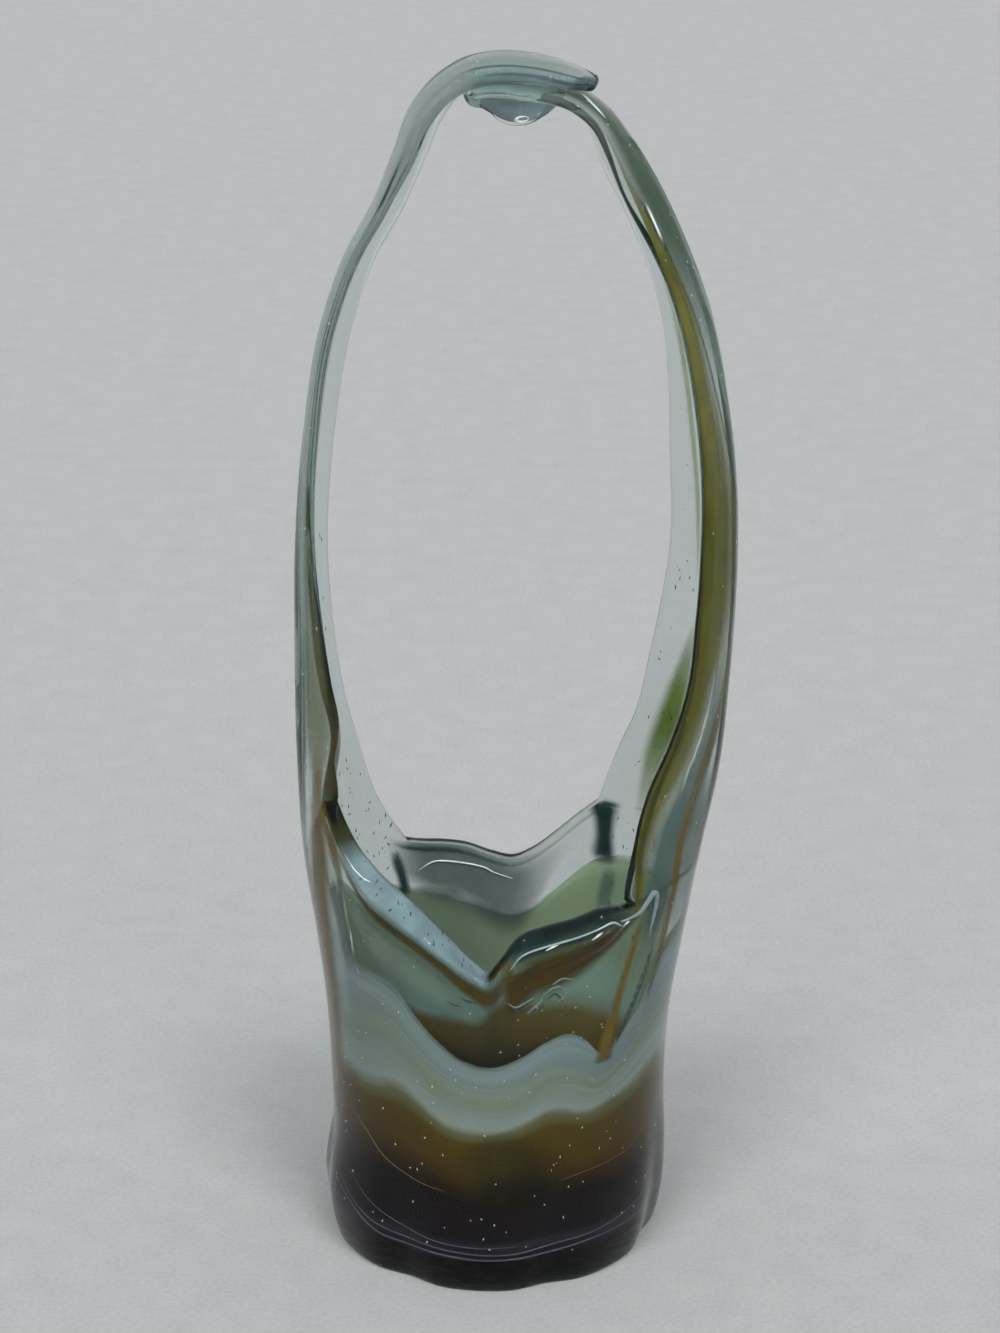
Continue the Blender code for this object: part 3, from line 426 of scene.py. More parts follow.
def roll_swell(azimuths, heights, rim):
    """How far the roll of the front right lip stands proud of the wall, outside and inside."""
    tall = ROLL_HEIGHT * smooth_table(ROLL_SHARES, azimuths)[:, 0]
    first = ROLL_SHARES[0][0]
    last = ROLL_SHARES[-1][0]
    ends = ease(np.minimum(azimuths - first, last - azimuths) / LIP_TAPER)
    place = np.clip((rim - heights) / tall, 0.0, 1.25)
    shape = np.sin(np.pi * np.clip(0.85 - 0.7 * place, 0.0, 1.0)) * (1 - ease((place - 0.9) / 0.25))
    return (ROLL_WALL - WALL) / 2 * ends * shape


def lip_thickness(azimuths, heights, low, rim):
    """Wall of the front lip, which thickens towards the slanting face on its left."""
    from_roll = ease((ROLL_SHARES[0][0] - azimuths) / LIP_TAPER)
    from_strap = ease((azimuths - 360.0 * LEFT_FRONT / COLUMNS) / (2 * LIP_TAPER))
    share = np.clip((heights - low) / np.maximum(rim - low, 1e-6), 0.0, 1.0)
    return WALL + (LIP_WALL - WALL) * from_roll * from_strap * ease(share)


def body_skins():
    """Outer and inner grids of the body, from the foot's edge and the floor's corner to the rim."""
    shares = np.linspace(0.0, 1.0, BODY_ROWS + 1)
    outer = []
    inner = []
    low = shoulder(RING)
    for share in shares:
        heights = FOOT_ROUNDING + (RIM_OUTER - FOOT_ROUNDING) * share
        swell = np.where(IS_FRONT_LIP, roll_swell(RING, heights, RIM_OUTER), 0.0)
        outer.append(body_point(RING, heights, -swell))
        heights = CORNER_LEVEL + (RIM_INNER - CORNER_LEVEL) * share
        swell = np.where(IS_FRONT_LIP, roll_swell(RING, heights, RIM_INNER), 0.0)
        wall = np.where(IS_FRONT_LIP, lip_thickness(RING, heights, low, RIM_INNER), WALL)
        inner.append(body_point(RING, heights, wall + swell))
    return np.array(outer), np.array(inner)


def drop_swell(outer):
    """Extra wall that turns the end of the right strap's tail into a hanging drop."""
    middle = np.array([DROP_REACH + 0.0024, 0.0])
    reach = (outer[:, :, :2] - middle) / np.array([1.17 * DROP_RADIUS, 1.18 * DROP_DEPTH])
    inside = np.clip(1 - (reach ** 2).sum(axis=2), 0.0, 1.0)
    return np.where(outer[:, :, 2] > CROWN_LEVEL, DROP_SWELL * inside ** DROP_FULLNESS, 0.0)


def boundary_loop(body, straps):
    """Vertex numbers of the skin's free edge, in one loop round the rim and both straps."""
    top = body[-1]
    loop = [top[column_index(c)] for c in range(LEFT_FRONT, RIGHT_FRONT + 1)]
    right = straps[1]
    loop += [right[i, 0] for i in range(1, len(right))]
    loop += [right[-1, j] for j in range(1, right.shape[1])]
    loop += [right[i, -1] for i in range(len(right) - 2, 0, -1)]
    loop += [top[column_index(c)] for c in range(RIGHT_BACK, COLUMNS + LEFT_BACK + 1)]
    left = straps[0]
    loop += [left[i, -1] for i in range(1, len(left))]
    loop += [left[-1, j] for j in range(left.shape[1] - 2, -1, -1)]
    loop += [left[i, 0] for i in range(len(left) - 2, 0, -1)]
    return loop


def quads(numbers):
    """Corner numbers of each cell of a grid."""
    return np.stack((numbers[:-1, :-1], numbers[:-1, 1:], numbers[1:, 1:], numbers[1:, :-1]), axis=-1)


class Builder:
    """Points and faces of a mesh that is put together from grids."""

    def __init__(self):
        self.points = []
        self.faces = []
        self.count = 0

    def add(self, points):
        """Numbers of newly added points, in the shape that they came in."""
        points = np.asarray(points, dtype=float)
        numbers = np.arange(self.count, self.count + points[..., 0].size)
        self.points.append(points.reshape(-1, 3))
        self.count += len(numbers)
        return numbers.reshape(points.shape[:-1])

    def grid(self, numbers, wrap=False):
        """Quads between the rows and columns of a grid of point numbers."""
        if wrap:
            numbers = np.concatenate((numbers, numbers[:, :1]), axis=1)
        self.faces += quads(numbers).reshape(-1, 4).tolist()

    def fan(self, ring, centre):
        """Triangles from a ring of point numbers to one centre point."""
        after = np.roll(ring, -1)
        self.faces += [[int(a), int(b), int(centre)] for a, b in zip(ring, after)]

    def close(self, first, rings, middle):
        """Quads from a first ring through further rings of points, and a fan round their middle."""
        numbers = [first] + [self.add(ring) for ring in rings]
        self.grid(np.array(numbers), wrap=True)
        self.fan(numbers[-1], self.add(middle[None, :])[0])

    def mesh(self, name):
        """Mesh with consistent outward faces."""
        points = np.concatenate(self.points) + SHIFT
        data = bpy.data.meshes.new(name)
        data.from_pydata(points.tolist(), [], self.faces)
        work = bmesh.new()
        work.from_mesh(data)
        bmesh.ops.recalc_face_normals(work, faces=work.faces)
        work.to_mesh(data)
        work.free()
        data.shade_smooth()
        return data


def link(name, data):
    """A new object in the scene."""
    item = bpy.data.objects.new(name, data)
    bpy.context.scene.collection.objects.link(item)
    return item


def piece(name, data, material, replaces=()):
    """A shown piece that rides on the vase's one body."""
    item = link(name, data)
    data.materials.append(material)
    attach(item, "root")
    if replaces:
        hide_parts(*replaces)


def paint(data, name, values):
    """A colour or number at each point of a mesh, which its material reads."""
    values = np.asarray(values, dtype=np.float32)
    if values.ndim == 1:
        layer = data.attributes.new(name, "FLOAT", "POINT")
        layer.data.foreach_set("value", values)
    else:
        if values.shape[1] == 3:
            values = np.column_stack((values, np.ones(len(values), dtype=np.float32)))
        layer = data.attributes.new(name, "FLOAT_COLOR", "POINT")
        layer.data.foreach_set("color", values.ravel())


def sheet(name, rows, tint, cover, material, wrap=False):
    """A thin sheet of tinted glass through rows of points, with its tint and cover at each point."""
    rows = np.array(rows)
    build = Builder()
    build.grid(build.add(rows), wrap=wrap)
    data = build.mesh(name)
    paint(data, "tint", np.broadcast_to(tint, rows.shape).reshape(-1, 3))
    paint(data, "cover", np.broadcast_to(cover, rows.shape[:2]).ravel())
    piece(name, data, material)


def drawn_thin(outer, wall):
    """Wall of a strap, drawn thin and round towards its near edge below the crown."""
    steps = np.linalg.norm(np.diff(outer, axis=1), axis=2)
    from_edge = np.concatenate((np.zeros((len(outer), 1)), np.cumsum(steps, axis=1)), axis=1)
    share = EDGE_THINNEST + (1 - EDGE_THINNEST) * np.sqrt(np.clip(from_edge / EDGE_REACH, 0.0, 1.0))
    where = ease(STRAP_SHARES / 0.06) * (1 - ease((STRAP_SHARES - 0.66) / 0.12))
    return wall * (1 - where[:, None] * (1 - share))


BODY_OUTER, BODY_INNER = body_skins()
STRAPS = []
for side in (LEFT_SIDE, RIGHT_SIDE):
    outer, inward, wall = side.surfaces(STRAP_SHARES)
    STRAPS.append((outer, inward, drawn_thin(outer, wall)))


def edge_bulges(loop_length):
    """How round the free edge is at each place of the boundary loop."""
    bulges = np.full(loop_length, EDGE_BULGE)
    front = np.arange(RIGHT_FRONT - LEFT_FRONT + 1)
    azimuths = (front + LEFT_FRONT) * 360.0 / COLUMNS
    from_roll = ease((ROLL_SHARES[0][0] - azimuths) / LIP_TAPER)
    ends = ease(np.minimum(front, front[-1] - front) / BULGE_COLUMNS)
    bulges[front] = (FACE_BULGE * from_roll + LIP_BULGE * (1 - from_roll)) * (0.3 + 0.7 * ends)
    return bulges


def round_edge(build, loops):
    """Closes the free edge between the two skins with a rounded strip."""
    points = np.concatenate(build.points)
    outer = points[loops[0]]
    inner = points[loops[1]]
    middle = (outer + inner) / 2
    half = (outer - inner) / 2
    tangent = unit(np.roll(middle, -1, axis=0) - np.roll(middle, 1, axis=0))
    out = unit(np.cross(half, tangent))
    if out[0, 2] < 0:
        out = -out
    reach = edge_bulges(len(outer)) * np.linalg.norm(half, axis=1)
    chain = [np.array(loops[0])]
    for step in range(1, EDGE_STEPS + 1):
        angle = math.pi * step / (EDGE_STEPS + 1)
        ring = middle + half * math.cos(angle) + out * (reach * math.sin(angle))[:, None]
        chain.append(build.add(ring))
    chain.append(np.array(loops[1]))
    build.grid(np.array(chain), wrap=True)


def close_foot(build, first):
    """Closes the outer skin below: rounded edge, flat ring and the shallow pontil hollow."""
    rings = []
    for angle in np.radians(np.linspace(75, 0, 6)):
        rings.append(body_point(RING, FOOT_ROUNDING * (1 - math.cos(angle)),
                                FOOT_ROUNDING * (1 - math.sin(angle))))
    edge = body_point(RING, 0.0, BODY_RADIUS - PONTIL_RADIUS - 2 * PONTIL_DEPTH)
    hollow = body_point(RING, PONTIL_DEPTH, BODY_RADIUS - PONTIL_RADIUS)
    middle = hollow.mean(axis=0)
    flat = [rings[-1] + (edge - rings[-1]) * share for share in (0.33, 0.67)]
    build.close(first, rings + flat + [edge, hollow, middle + (hollow - middle) * 0.5], middle)


def close_floor(build, first):
    """Closes the inner skin below: the rounded corner and the floor."""
    rings = []
    for angle in np.radians(np.linspace(80, 0, 7)):
        rings.append(body_point(RING, CORNER_LEVEL + (LINING_FLOOR - CORNER_LEVEL) * math.cos(angle),
                                WALL + FLOOR_ROUNDING * (1 - math.sin(angle))))
    last = rings[-1]
    middle = last.mean(axis=0)
    rings += [middle + (last - middle) * share for share in (0.8, 0.6, 0.4, 0.2)]
    build.close(first, rings, middle)


def make_glass(material):
    """Continuous clear glass from the foot through the lips to both strap ends."""
    build = Builder()
    skins = []
    for body, is_inner in ((BODY_OUTER, False), (BODY_INNER, True)):
        numbers = build.add(body)
        build.grid(numbers, wrap=True)
        straps = []
        for side, (outer, inward, wall) in zip((LEFT_SIDE, RIGHT_SIDE), STRAPS):
            points = outer
            if is_inner:
                extra = drop_swell(outer) if side is RIGHT_SIDE else 0.0
                points = outer + inward * (wall + extra)[:, :, None]
            root = [numbers[-1][column_index(round(a * COLUMNS / 360.0))] for a in side.azimuths]
            grid = np.concatenate((np.array(root)[None, :], build.add(points[1:])))
            build.grid(grid)
            straps.append(grid)
        skins.append((numbers, straps))
    round_edge(build, [boundary_loop(numbers, straps) for numbers, straps in skins])
    close_foot(build, skins[0][0][0])
    close_floor(build, skins[1][0][0])
    piece("clear_glass", build.mesh("clear_glass"), material,
          replaces=("clear_foot", "outer_casing", "inner_lining", "front_lip", "rolled_lip",
                    "back_lip", "left_strap", "right_strap", "drop_tip"))


def ring_labels(band, side):
    """Azimuth, place in the bands and side of the wall at each point of a ring."""
    return np.column_stack((RING, np.full(COLUMNS, band), np.full(COLUMNS, side)))


def make_core(material):
    """Thin wall of colour inside the glass, closed, with its floor and its free upper edge."""
    build = Builder()
    lines = [np.full(COLUMNS, CORNER_LEVEL), RIM_HEIGHT * round_table(AMETHYST_SHARES, RING),
             RIM_HEIGHT * round_table(OPAL_BASE_SHARES, RING), shoulder(RING)]
    flow = []
    edges = []
    for side, depth in enumerate((CORE_DEPTH, CORE_DEPTH + CORE_WALL)):
        low = FOOT_HEIGHT + CORE_LIFT + side * CORE_FLOOR
        rings = []
        for angle in np.radians(np.linspace(0, 80, 7)):
            rings.append(body_point(RING, CORNER_LEVEL - (CORNER_LEVEL - low) * math.cos(angle),
                                    CORE_CENTRE - (CORE_CENTRE - depth) * math.sin(angle)))
            flow.append(ring_labels(-0.3, side))
        for band in np.linspace(0.0, 3.0, CORE_ROWS + 1):
            base = min(int(band), 2)
            heights = lines[base] + (lines[base + 1] - lines[base]) * (band - base)
            inset = 0.5 * ease((band - 2.93) / 0.07) * CORE_WALL * (1 if side == 0 else -1)
            rings.append(body_point(RING, heights, depth + inset * 0.8))
            flow.append(ring_labels(band, side))
        numbers = build.add(np.array(rings))
        build.grid(numbers, wrap=True)
        middle = rings[0].mean(axis=0)
        floor = [middle + (rings[0] - middle) * share for share in (0.75, 0.5, 0.25)]
        build.close(numbers[0], floor, middle)
        flow += [ring_labels(-0.6, side) for _ in floor] + [np.array([[0.0, -1.0, side]])]
        edges.append(numbers[-1])
    build.grid(np.array(edges), wrap=True)
    data = build.mesh("colour_core")
    flow = np.concatenate(flow)
    turn = np.radians(flow[:, 0])
    paint(data, "flow", np.column_stack((np.cos(turn), np.sin(turn), flow[:, 1])))
    paint(data, "inside", flow[:, 2])
    piece("colour_core", data, material,
          replaces=("amethyst_cup", "amber_band", "opal_band"))


class Shader:
    """A node material under construction."""

    def __init__(self, name):
        self.material = bpy.data.materials.new(name)
        self.material.use_nodes = True
        self.tree = self.material.node_tree
        self.nodes = self.tree.nodes
        self.principled = self.nodes["Principled BSDF"]
        self.output = self.nodes["Material Output"]

    def node(self, kind, **values):
        """A node with its sockets or settings given by name."""
        made = self.nodes.new(kind)
        for key, value in values.items():
            if key in made.inputs:
                self.feed(made, key, value)
            else:
                setattr(made, key, value)
        return made

    def feed(self, node, socket, value):
        """Link or set one input."""
        target = node.inputs[socket]
        if isinstance(value, bpy.types.NodeSocket):
            self.tree.links.new(value, target)
        else:
            target.default_value = value

    def surface(self, **values):
        """Links or sets the main shader's inputs, an underscore standing for a space."""
        for key, value in values.items():
            self.feed(self.principled, key.replace("_", " "), value)

    def attribute(self, name, output="Color"):
        """A painted layer."""
        return self.node("ShaderNodeAttribute", attribute_name=name).outputs[output]

    def place(self):
        """Place on the object itself."""
        return self.node("ShaderNodeTexCoord").outputs["Object"]

    def math(self, operation, first, second=0.5, clamp=False):
        """A math node's result."""
        made = self.node("ShaderNodeMath", operation=operation, use_clamp=clamp)
        self.feed(made, 0, first)
        self.feed(made, 1, second)
        return made.outputs[0]

    def ramp(self, factor, stops, smooth=True):
        """A colour ramp with the given stops: place, then red, green and blue."""
        made = self.node("ShaderNodeValToRGB", Fac=factor)
        elements = made.color_ramp.elements
        made.color_ramp.interpolation = "EASE" if smooth else "LINEAR"
        while len(elements) < len(stops):
            elements.new(0.5)
        for element, stop in zip(elements, stops):
            element.position = stop[0]
            element.color = (*stop[1:4], 1.0)
        return made.outputs["Color"]

    def mix(self, factor, first, second, blend="MIX"):
        """Two colours mixed."""
        made = self.node("ShaderNodeMix", data_type="RGBA", blend_type=blend)
        for socket, value in ((0, factor), (6, first), (7, second)):
            self.feed(made, socket, value)
        return made.outputs[2]

    def mapping(self, vector, scale):
        """A vector stretched along its axes."""
        return self.node("ShaderNodeMapping", Vector=vector, Scale=scale).outputs["Vector"]

    def noise(self, vector, scale, detail=3.0, distortion=0.0):
        """Noise at a vector."""
        made = self.node("ShaderNodeTexNoise", Vector=vector, Scale=scale, Detail=detail,
                         Distortion=distortion)
        return made.outputs["Fac"]


def glass_material():
    """Clear grey-aqua glass that tints by its thickness and lets lamps through to the colour."""
    shader = Shader("clear_aqua_glass")
    shader.surface(Base_Color=(0.97, 0.99, 0.985, 1.0), Transmission_Weight=1.0, Roughness=0.0, IOR=1.5,
                   Specular_Tint=(0.45, 0.45, 0.45, 1.0))
    clear = shader.node("ShaderNodeBsdfTransparent", Color=(0.93, 0.96, 0.955, 1.0))
    path = shader.node("ShaderNodeLightPath")
    both = shader.nodes.new("ShaderNodeMixShader")
    for socket, value in enumerate((path.outputs["Is Shadow Ray"], shader.principled.outputs[0],
                                    clear.outputs[0])):
        shader.feed(both, socket, value)
    haze = shader.node("ShaderNodeVolumeAbsorption", Color=(0.25, 0.46, 0.40, 1.0), Density=50.0)
    shader.feed(shader.output, "Surface", both.outputs[0])
    shader.feed(shader.output, "Volume", haze.outputs[0])
    return shader.material


def core_material():
    """Bands of colour that flow with the rim: opal, olive, amber and amethyst, with painted light on the
    sides and the inner face and a painted reflection low by the foot.
    """
    shader = Shader("swirled_colour")
    flow = shader.attribute("flow")
    split = shader.node("ShaderNodeSeparateXYZ", Vector=flow)
    band = split.outputs["Z"]
    broad = shader.noise(shader.mapping(flow, (1.6, 1.6, 1.2)), 1.0, 3.0, 0.4)
    lines = shader.noise(shader.mapping(flow, (0.9, 0.9, 9.0)), 1.0, 4.0, 0.6)
    shift = shader.math("MULTIPLY", shader.math("SUBTRACT", broad, 0.5), 0.34)
    place = shader.math("DIVIDE", shader.math("ADD", band, shift), 3.0)
    # The outer ramp's lowest stop, a lighter violet low on the body by the foot, is a painted reflection.
    outside = shader.ramp(place, (
        (0.00, 0.020, 0.017, 0.024), (0.05, 0.006, 0.004, 0.006), (0.26, 0.005, 0.003, 0.003),
        (0.33, 0.020, 0.011, 0.002), (0.44, 0.056, 0.031, 0.003), (0.60, 0.066, 0.044, 0.005),
        (0.665, 0.11, 0.11, 0.055), (0.70, 0.225, 0.25, 0.245), (0.76, 0.185, 0.225, 0.225),
        (0.80, 0.165, 0.195, 0.16), (0.84, 0.18, 0.21, 0.185), (0.88, 0.155, 0.195, 0.20),
        (0.94, 0.185, 0.23, 0.24), (0.98, 0.15, 0.19, 0.20)), smooth=False)
    pale = shader.ramp(lines, ((0.28, 0.82, 0.87, 0.92), (0.45, 1.0, 1.0, 1.0), (0.56, 0.97, 0.97, 0.84),
                               (0.72, 1.12, 1.10, 1.10)))
    # Painted light: the pale bands are lightened away from the front, most at the sides and back, where the
    # lamps reach less.
    side_painted_light = shader.ramp(split.outputs["X"], ((0.0, 1.5, 1.5, 1.55), (0.85, 1.0, 1.0, 1.0)))
    pale = shader.mix(1.0, pale, side_painted_light, "MULTIPLY")
    is_pale = shader.math("MULTIPLY", shader.math("SUBTRACT", place, 0.64), 10.0, clamp=True)
    outside = shader.mix(is_pale, outside, shader.mix(1.0, outside, pale, "MULTIPLY"))
    inside = shader.ramp(place, (
        (0.00, 0.008, 0.005, 0.004), (0.28, 0.030, 0.018, 0.004), (0.44, 0.075, 0.044, 0.006),
        (0.59, 0.090, 0.062, 0.012), (0.63, 0.110, 0.110, 0.070), (0.68, 0.150, 0.205, 0.175),
        (0.73, 0.145, 0.200, 0.165), (0.79, 0.125, 0.155, 0.105), (0.96, 0.13, 0.165, 0.11),
        (0.995, 0.19, 0.23, 0.17)), smooth=False)
    # Painted light: the inner face is lightened everywhere, and most towards the right, where little lamp
    # light reaches it.
    to_right = shader.math("MULTIPLY", shader.math("ADD", split.outputs["Y"], 1.0), 0.5)
    inside_painted_light = shader.ramp(to_right, ((0.35, 1.15, 1.18, 1.25), (0.75, 2.0, 2.0, 1.9)))
    inside = shader.mix(1.0, inside, inside_painted_light, "MULTIPLY")
    colour = shader.mix(shader.attribute("inside", "Fac"), outside, inside)
    frayed = shader.math("ADD", shader.math("MULTIPLY", shader.math("SUBTRACT", 1.0, place), 42.0),
                         shader.math("MULTIPLY", shader.math("SUBTRACT", lines, 0.5), 1.6), clamp=True)
    shader.surface(Base_Color=colour, Alpha=frayed, Roughness=0.6, Specular_IOR_Level=0.0)
    return shader.material


# Streaks that run up the walls and straps: height in rim heights, azimuth, half width in
# degrees, strength. Azimuths past 90 lie on the straps' far halves.
LEFT_OUTER_AMBER = (
    (1.56, -69, 2, 0.0), (1.47, -67, 5, 0.6), (1.30, -65, 7.5, 0.9), (1.16, -67, 9.5, 0.97),
    (1.06, -70, 11, 0.97), (0.94, -74, 13, 1.0), (0.80, -76, 14, 1.0), (0.62, -78, 15, 0.95),
    (0.45, -80, 14, 0.8), (0.30, -81, 11, 0.0),
)
LEFT_INNER_AMBER = (
    (1.49, -66, 1.5, 0.0), (1.455, -66, 3.6, 0.85), (1.40, -63, 3.2, 0.8), (1.35, -60, 3.4, 0.9),
    (1.31, -57.5, 3.6, 0.95), (1.255, -55.5, 3.3, 0.9), (1.20, -53.8, 2.4, 0.7), (1.12, -53, 1, 0.0),
)
LEFT_PALE = (
    (1.50, -74, 3, 0.3), (1.45, -75, 3, 0.45), (1.28, -68, 4, 0.5), (1.16, -63.5, 4.5, 0.55),
    (1.04, -61, 5, 0.5), (0.90, -60, 5, 0.4), (0.75, -59, 5, 0.0),
)
LEFT_MAUVE = ((1.22, -57, 2, 0.0), (1.12, -57, 3, 0.55), (1.00, -55.5, 3, 0.5), (0.90, -54, 3, 0.0))
LEFT_SEAM = (
    (1.26, -51.5, 0.6, 0.2), (1.16, -52, 0.6, 0.8), (1.07, -52, 0.6, 0.8), (0.97, -51, 0.6, 0.5),
    (0.86, -50, 0.6, 0.0),
)
LEFT_OUTLINE = (
    (2.00, -90, 2, 0.0), (1.80, -90, 4, 0.6), (1.45, -89, 5, 0.75), (1.20, -88, 6, 0.7),
    (0.90, -89, 8, 0.6), (0.60, -92, 10, 0.4), (0.35, -93, 10, 0.0),
)
LEFT_OLIVE_EDGE = (
    (2.85, -60, 0.6, 0.0), (2.70, -60, 0.9, 0.35), (2.50, -60, 1.1, 0.6), (2.25, -60, 1.2, 0.8),
    (1.95, -60, 1.2, 0.85), (1.70, -60.5, 1.5, 0.85), (1.55, -60, 1.7, 0.85), (1.47, -59, 1.7, 0.8),
    (1.38, -57.5, 1.5, 0.0),
)
LEFT_NEAR_SHADE = (
    (3.42, -76, 14, 0.0), (3.30, -76, 18, 0.3), (3.05, -76, 18, 0.35), (2.60, -76, 18, 0.4),
    (2.20, -76, 18, 0.45), (1.90, -76, 17, 0.45), (1.65, -74, 14, 0.4), (1.50, -71, 9, 0.0),
)
LEFT_OLIVE_TINT = (
    (2.60, -63, 3, 0.0), (2.25, -64, 5, 0.35), (1.95, -65, 7, 0.45), (1.70, -67, 9, 0.6),
    (1.52, -68, 9, 0.6), (1.42, -66, 6, 0.4), (1.34, -64, 3, 0.0),
)
RIGHT_TOP_SHADE = (
    (2.62, 66, 10, 0.0), (2.80, 66, 20, 0.5), (2.95, 66, 26, 0.8), (3.08, 66, 28, 0.9),
    (3.18, 66, 28, 0.9), (3.28, 66, 28, 0.8), (3.38, 66, 26, 0.6), (3.45, 66, 20, 0.0),
)
RIGHT_ROOT_SHADE = (
    (1.50, 73, 6, 0.0), (1.36, 72, 8, 0.45), (1.20, 70, 9, 0.5), (1.05, 70, 9, 0.4), (0.92, 70, 9, 0.0),
)
RIGHT_OLIVE = (
    (1.10, 42.9, 3, 0.5), (1.20, 42.9, 6, 0.9), (1.29, 42.9, 9, 0.92), (1.38, 42.9, 12, 0.95),
    (1.50, 42.9, 21, 0.95), (1.58, 42.9, 24, 0.95), (1.69, 42.9, 28, 0.95), (1.81, 42.9, 37, 0.95),
    (1.94, 42.9, 50, 0.95), (2.07, 42.9, 56, 0.95), (2.23, 42.9, 53, 0.95), (2.36, 42.9, 43, 0.92),
    (2.50, 42.9, 31, 0.92), (2.73, 42.9, 23, 0.9), (2.89, 42.9, 18, 0.9), (3.05, 42.9, 10, 0.85),
    (3.16, 42.9, 6, 0.6), (3.26, 42.9, 4, 0.3), (3.34, 42.9, 2, 0.0),
)
RIGHT_LIGHT_OLIVE = (
    (2.15, 51, 3, 0.0), (2.35, 51, 7, 0.5), (2.60, 49, 7, 0.65), (2.80, 47.5, 5, 0.55), (3.00, 46, 3, 0.0),
)
RIGHT_DARK_EDGE = (
    (1.14, 43.2, 1, 0.6), (1.25, 44.5, 1.4, 0.8), (1.49, 45.5, 1.8, 0.85), (1.70, 44.5, 1.8, 0.85),
    (1.90, 44.0, 1.8, 0.8), (2.10, 43.5, 1.8, 0.6), (2.40, 43, 1.4, 0.4), (2.70, 43, 1, 0.0),
)
RIGHT_DARK_LINE = (
    (1.98, 80, 1, 0.0), (2.10, 84, 1.6, 0.6), (2.23, 82, 1.6, 0.8), (2.36, 73, 1.6, 0.85),
    (2.50, 66, 1.5, 0.85), (2.62, 62, 1.4, 0.8), (2.73, 58.5, 1.4, 0.7), (2.84, 55.5, 1.4, 0.6),
    (2.95, 53, 1.2, 0.5), (3.02, 51, 1, 0.0),
)
# A fold on the right strap, painted: a dark line of painted shade and, beside it, a white painted
# highlight.
RIGHT_DART_SHADE = (
    (2.95, 51.0, 0.8, 0.0), (2.99, 50.4, 1.5, 0.9), (3.07, 48.8, 1.7, 0.9), (3.12, 47.8, 0.8, 0.0),
)
RIGHT_GLINT = (
    (2.98, 52.2, 0.7, 0.0), (3.01, 52.0, 1.4, 1.0), (3.06, 51.8, 1.4, 1.0), (3.09, 51.8, 0.7, 0.0),
)
# Painted highlight: a pale line on the right strap's shoulder.
RIGHT_TOP_GLINT = (
    (3.310, 59.5, 1.0, 0.0), (3.325, 61.0, 2.2, 1.0), (3.350, 64.5, 2.6, 1.0), (3.370, 70.5, 2.2, 0.9),
    (3.382, 74.0, 1.0, 0.0),
)
RIGHT_SHADE = (
    (2.20, 88, 8, 0.0), (2.40, 80, 9, 0.35), (2.60, 74, 9, 0.4), (2.85, 68, 9, 0.4),
    (3.02, 63, 9, 0.5), (3.12, 60, 8, 0.5), (3.20, 58, 6, 0.0),
)
RIGHT_TEAL = (
    (1.84, 70, 3, 0.0), (1.74, 69, 7, 0.45), (1.64, 68, 10, 0.65), (1.53, 65, 10, 0.75),
    (1.42, 60, 9, 0.85), (1.32, 56.5, 10, 0.9), (1.24, 55, 10.5, 0.9), (1.15, 53, 10, 0.85),
    (1.09, 52, 8, 0.8), (1.02, 51, 5, 0.4), (0.96, 50, 3, 0.0),
)
RIGHT_OUTER_AMBER = (
    (1.92, 78, 2, 0.0), (1.76, 75, 4, 0.55), (1.62, 71.5, 6, 0.7), (1.49, 67, 5.5, 0.7),
    (1.42, 65, 3.6, 0.75), (1.33, 63, 3.2, 0.9), (1.23, 61.5, 3.4, 0.95), (1.10, 60.5, 3.2, 0.95),
    (0.98, 59, 2.6, 0.85), (0.88, 57, 2, 0.55), (0.78, 55, 1.2, 0.0),
)
RIGHT_PALE_LINE = (
    (1.78, 60, 0.5, 0.0), (1.67, 60, 1, 0.7), (1.56, 58.5, 1, 0.7), (1.48, 57, 0.8, 0.6),
    (1.38, 56, 0.5, 0.0),
)
RIGHT_MAUVE = (
    (1.66, 84, 3, 0.0), (1.48, 80, 7, 0.5), (1.30, 78, 10, 0.6), (1.18, 80, 8, 0.6), (1.05, 84, 7, 0.6),
    (0.95, 87, 8, 0.55), (0.75, 91, 11, 0.45), (0.55, 95, 13, 0.35), (0.35, 93, 12, 0.0),
)
RIGHT_GREEN_PATCH = (
    (1.84, 128, 2, 0.0), (1.70, 130, 6, 0.7), (1.56, 132, 9, 0.95), (1.45, 133, 9, 0.95),
    (1.36, 133, 7, 0.8), (1.24, 132, 4, 0.45), (1.14, 131, 2, 0.0),
)
RIGHT_GREEN_STRIP = (
    (1.95, 131, 1, 0.0), (2.10, 133, 1.8, 0.6), (2.30, 134.5, 2.2, 0.7), (2.50, 137, 2.6, 0.7),
    (2.70, 140, 3, 0.6), (2.90, 143, 2, 0.0),
)
RIGHT_FAR_NOTCH = (
    (1.19, 145, 8, 0.5), (1.17, 145, 8, 1.0), (1.13, 144, 6, 1.0), (1.08, 143.2, 5.4, 1.0),
    (1.02, 142.5, 6.6, 1.0), (0.99, 142.5, 6, 0.0),
)
LEFT_FAR_NOTCH = (
    (1.03, -141.6, 2.0, 0.6), (1.00, -142.0, 3.0, 1.0), (0.95, -143.4, 3.2, 1.0),
    (0.90, -144.4, 2.8, 1.0), (0.875, -144.6, 1.6, 0.0),
)
LENS_DISC = (
    (0.27, 5, 3, 0.0), (0.31, 5, 14, 0.5), (0.39, 4, 22, 0.6), (0.46, 3, 16, 0.45), (0.51, 3, 4, 0.0),
)
LENS_CRESCENT = (
    (0.26, 6, 6, 0.0), (0.295, 7, 16, 0.9), (0.33, 7, 18, 0.85), (0.37, 8, 12, 0.4), (0.42, 9, 8, 0.0),
)
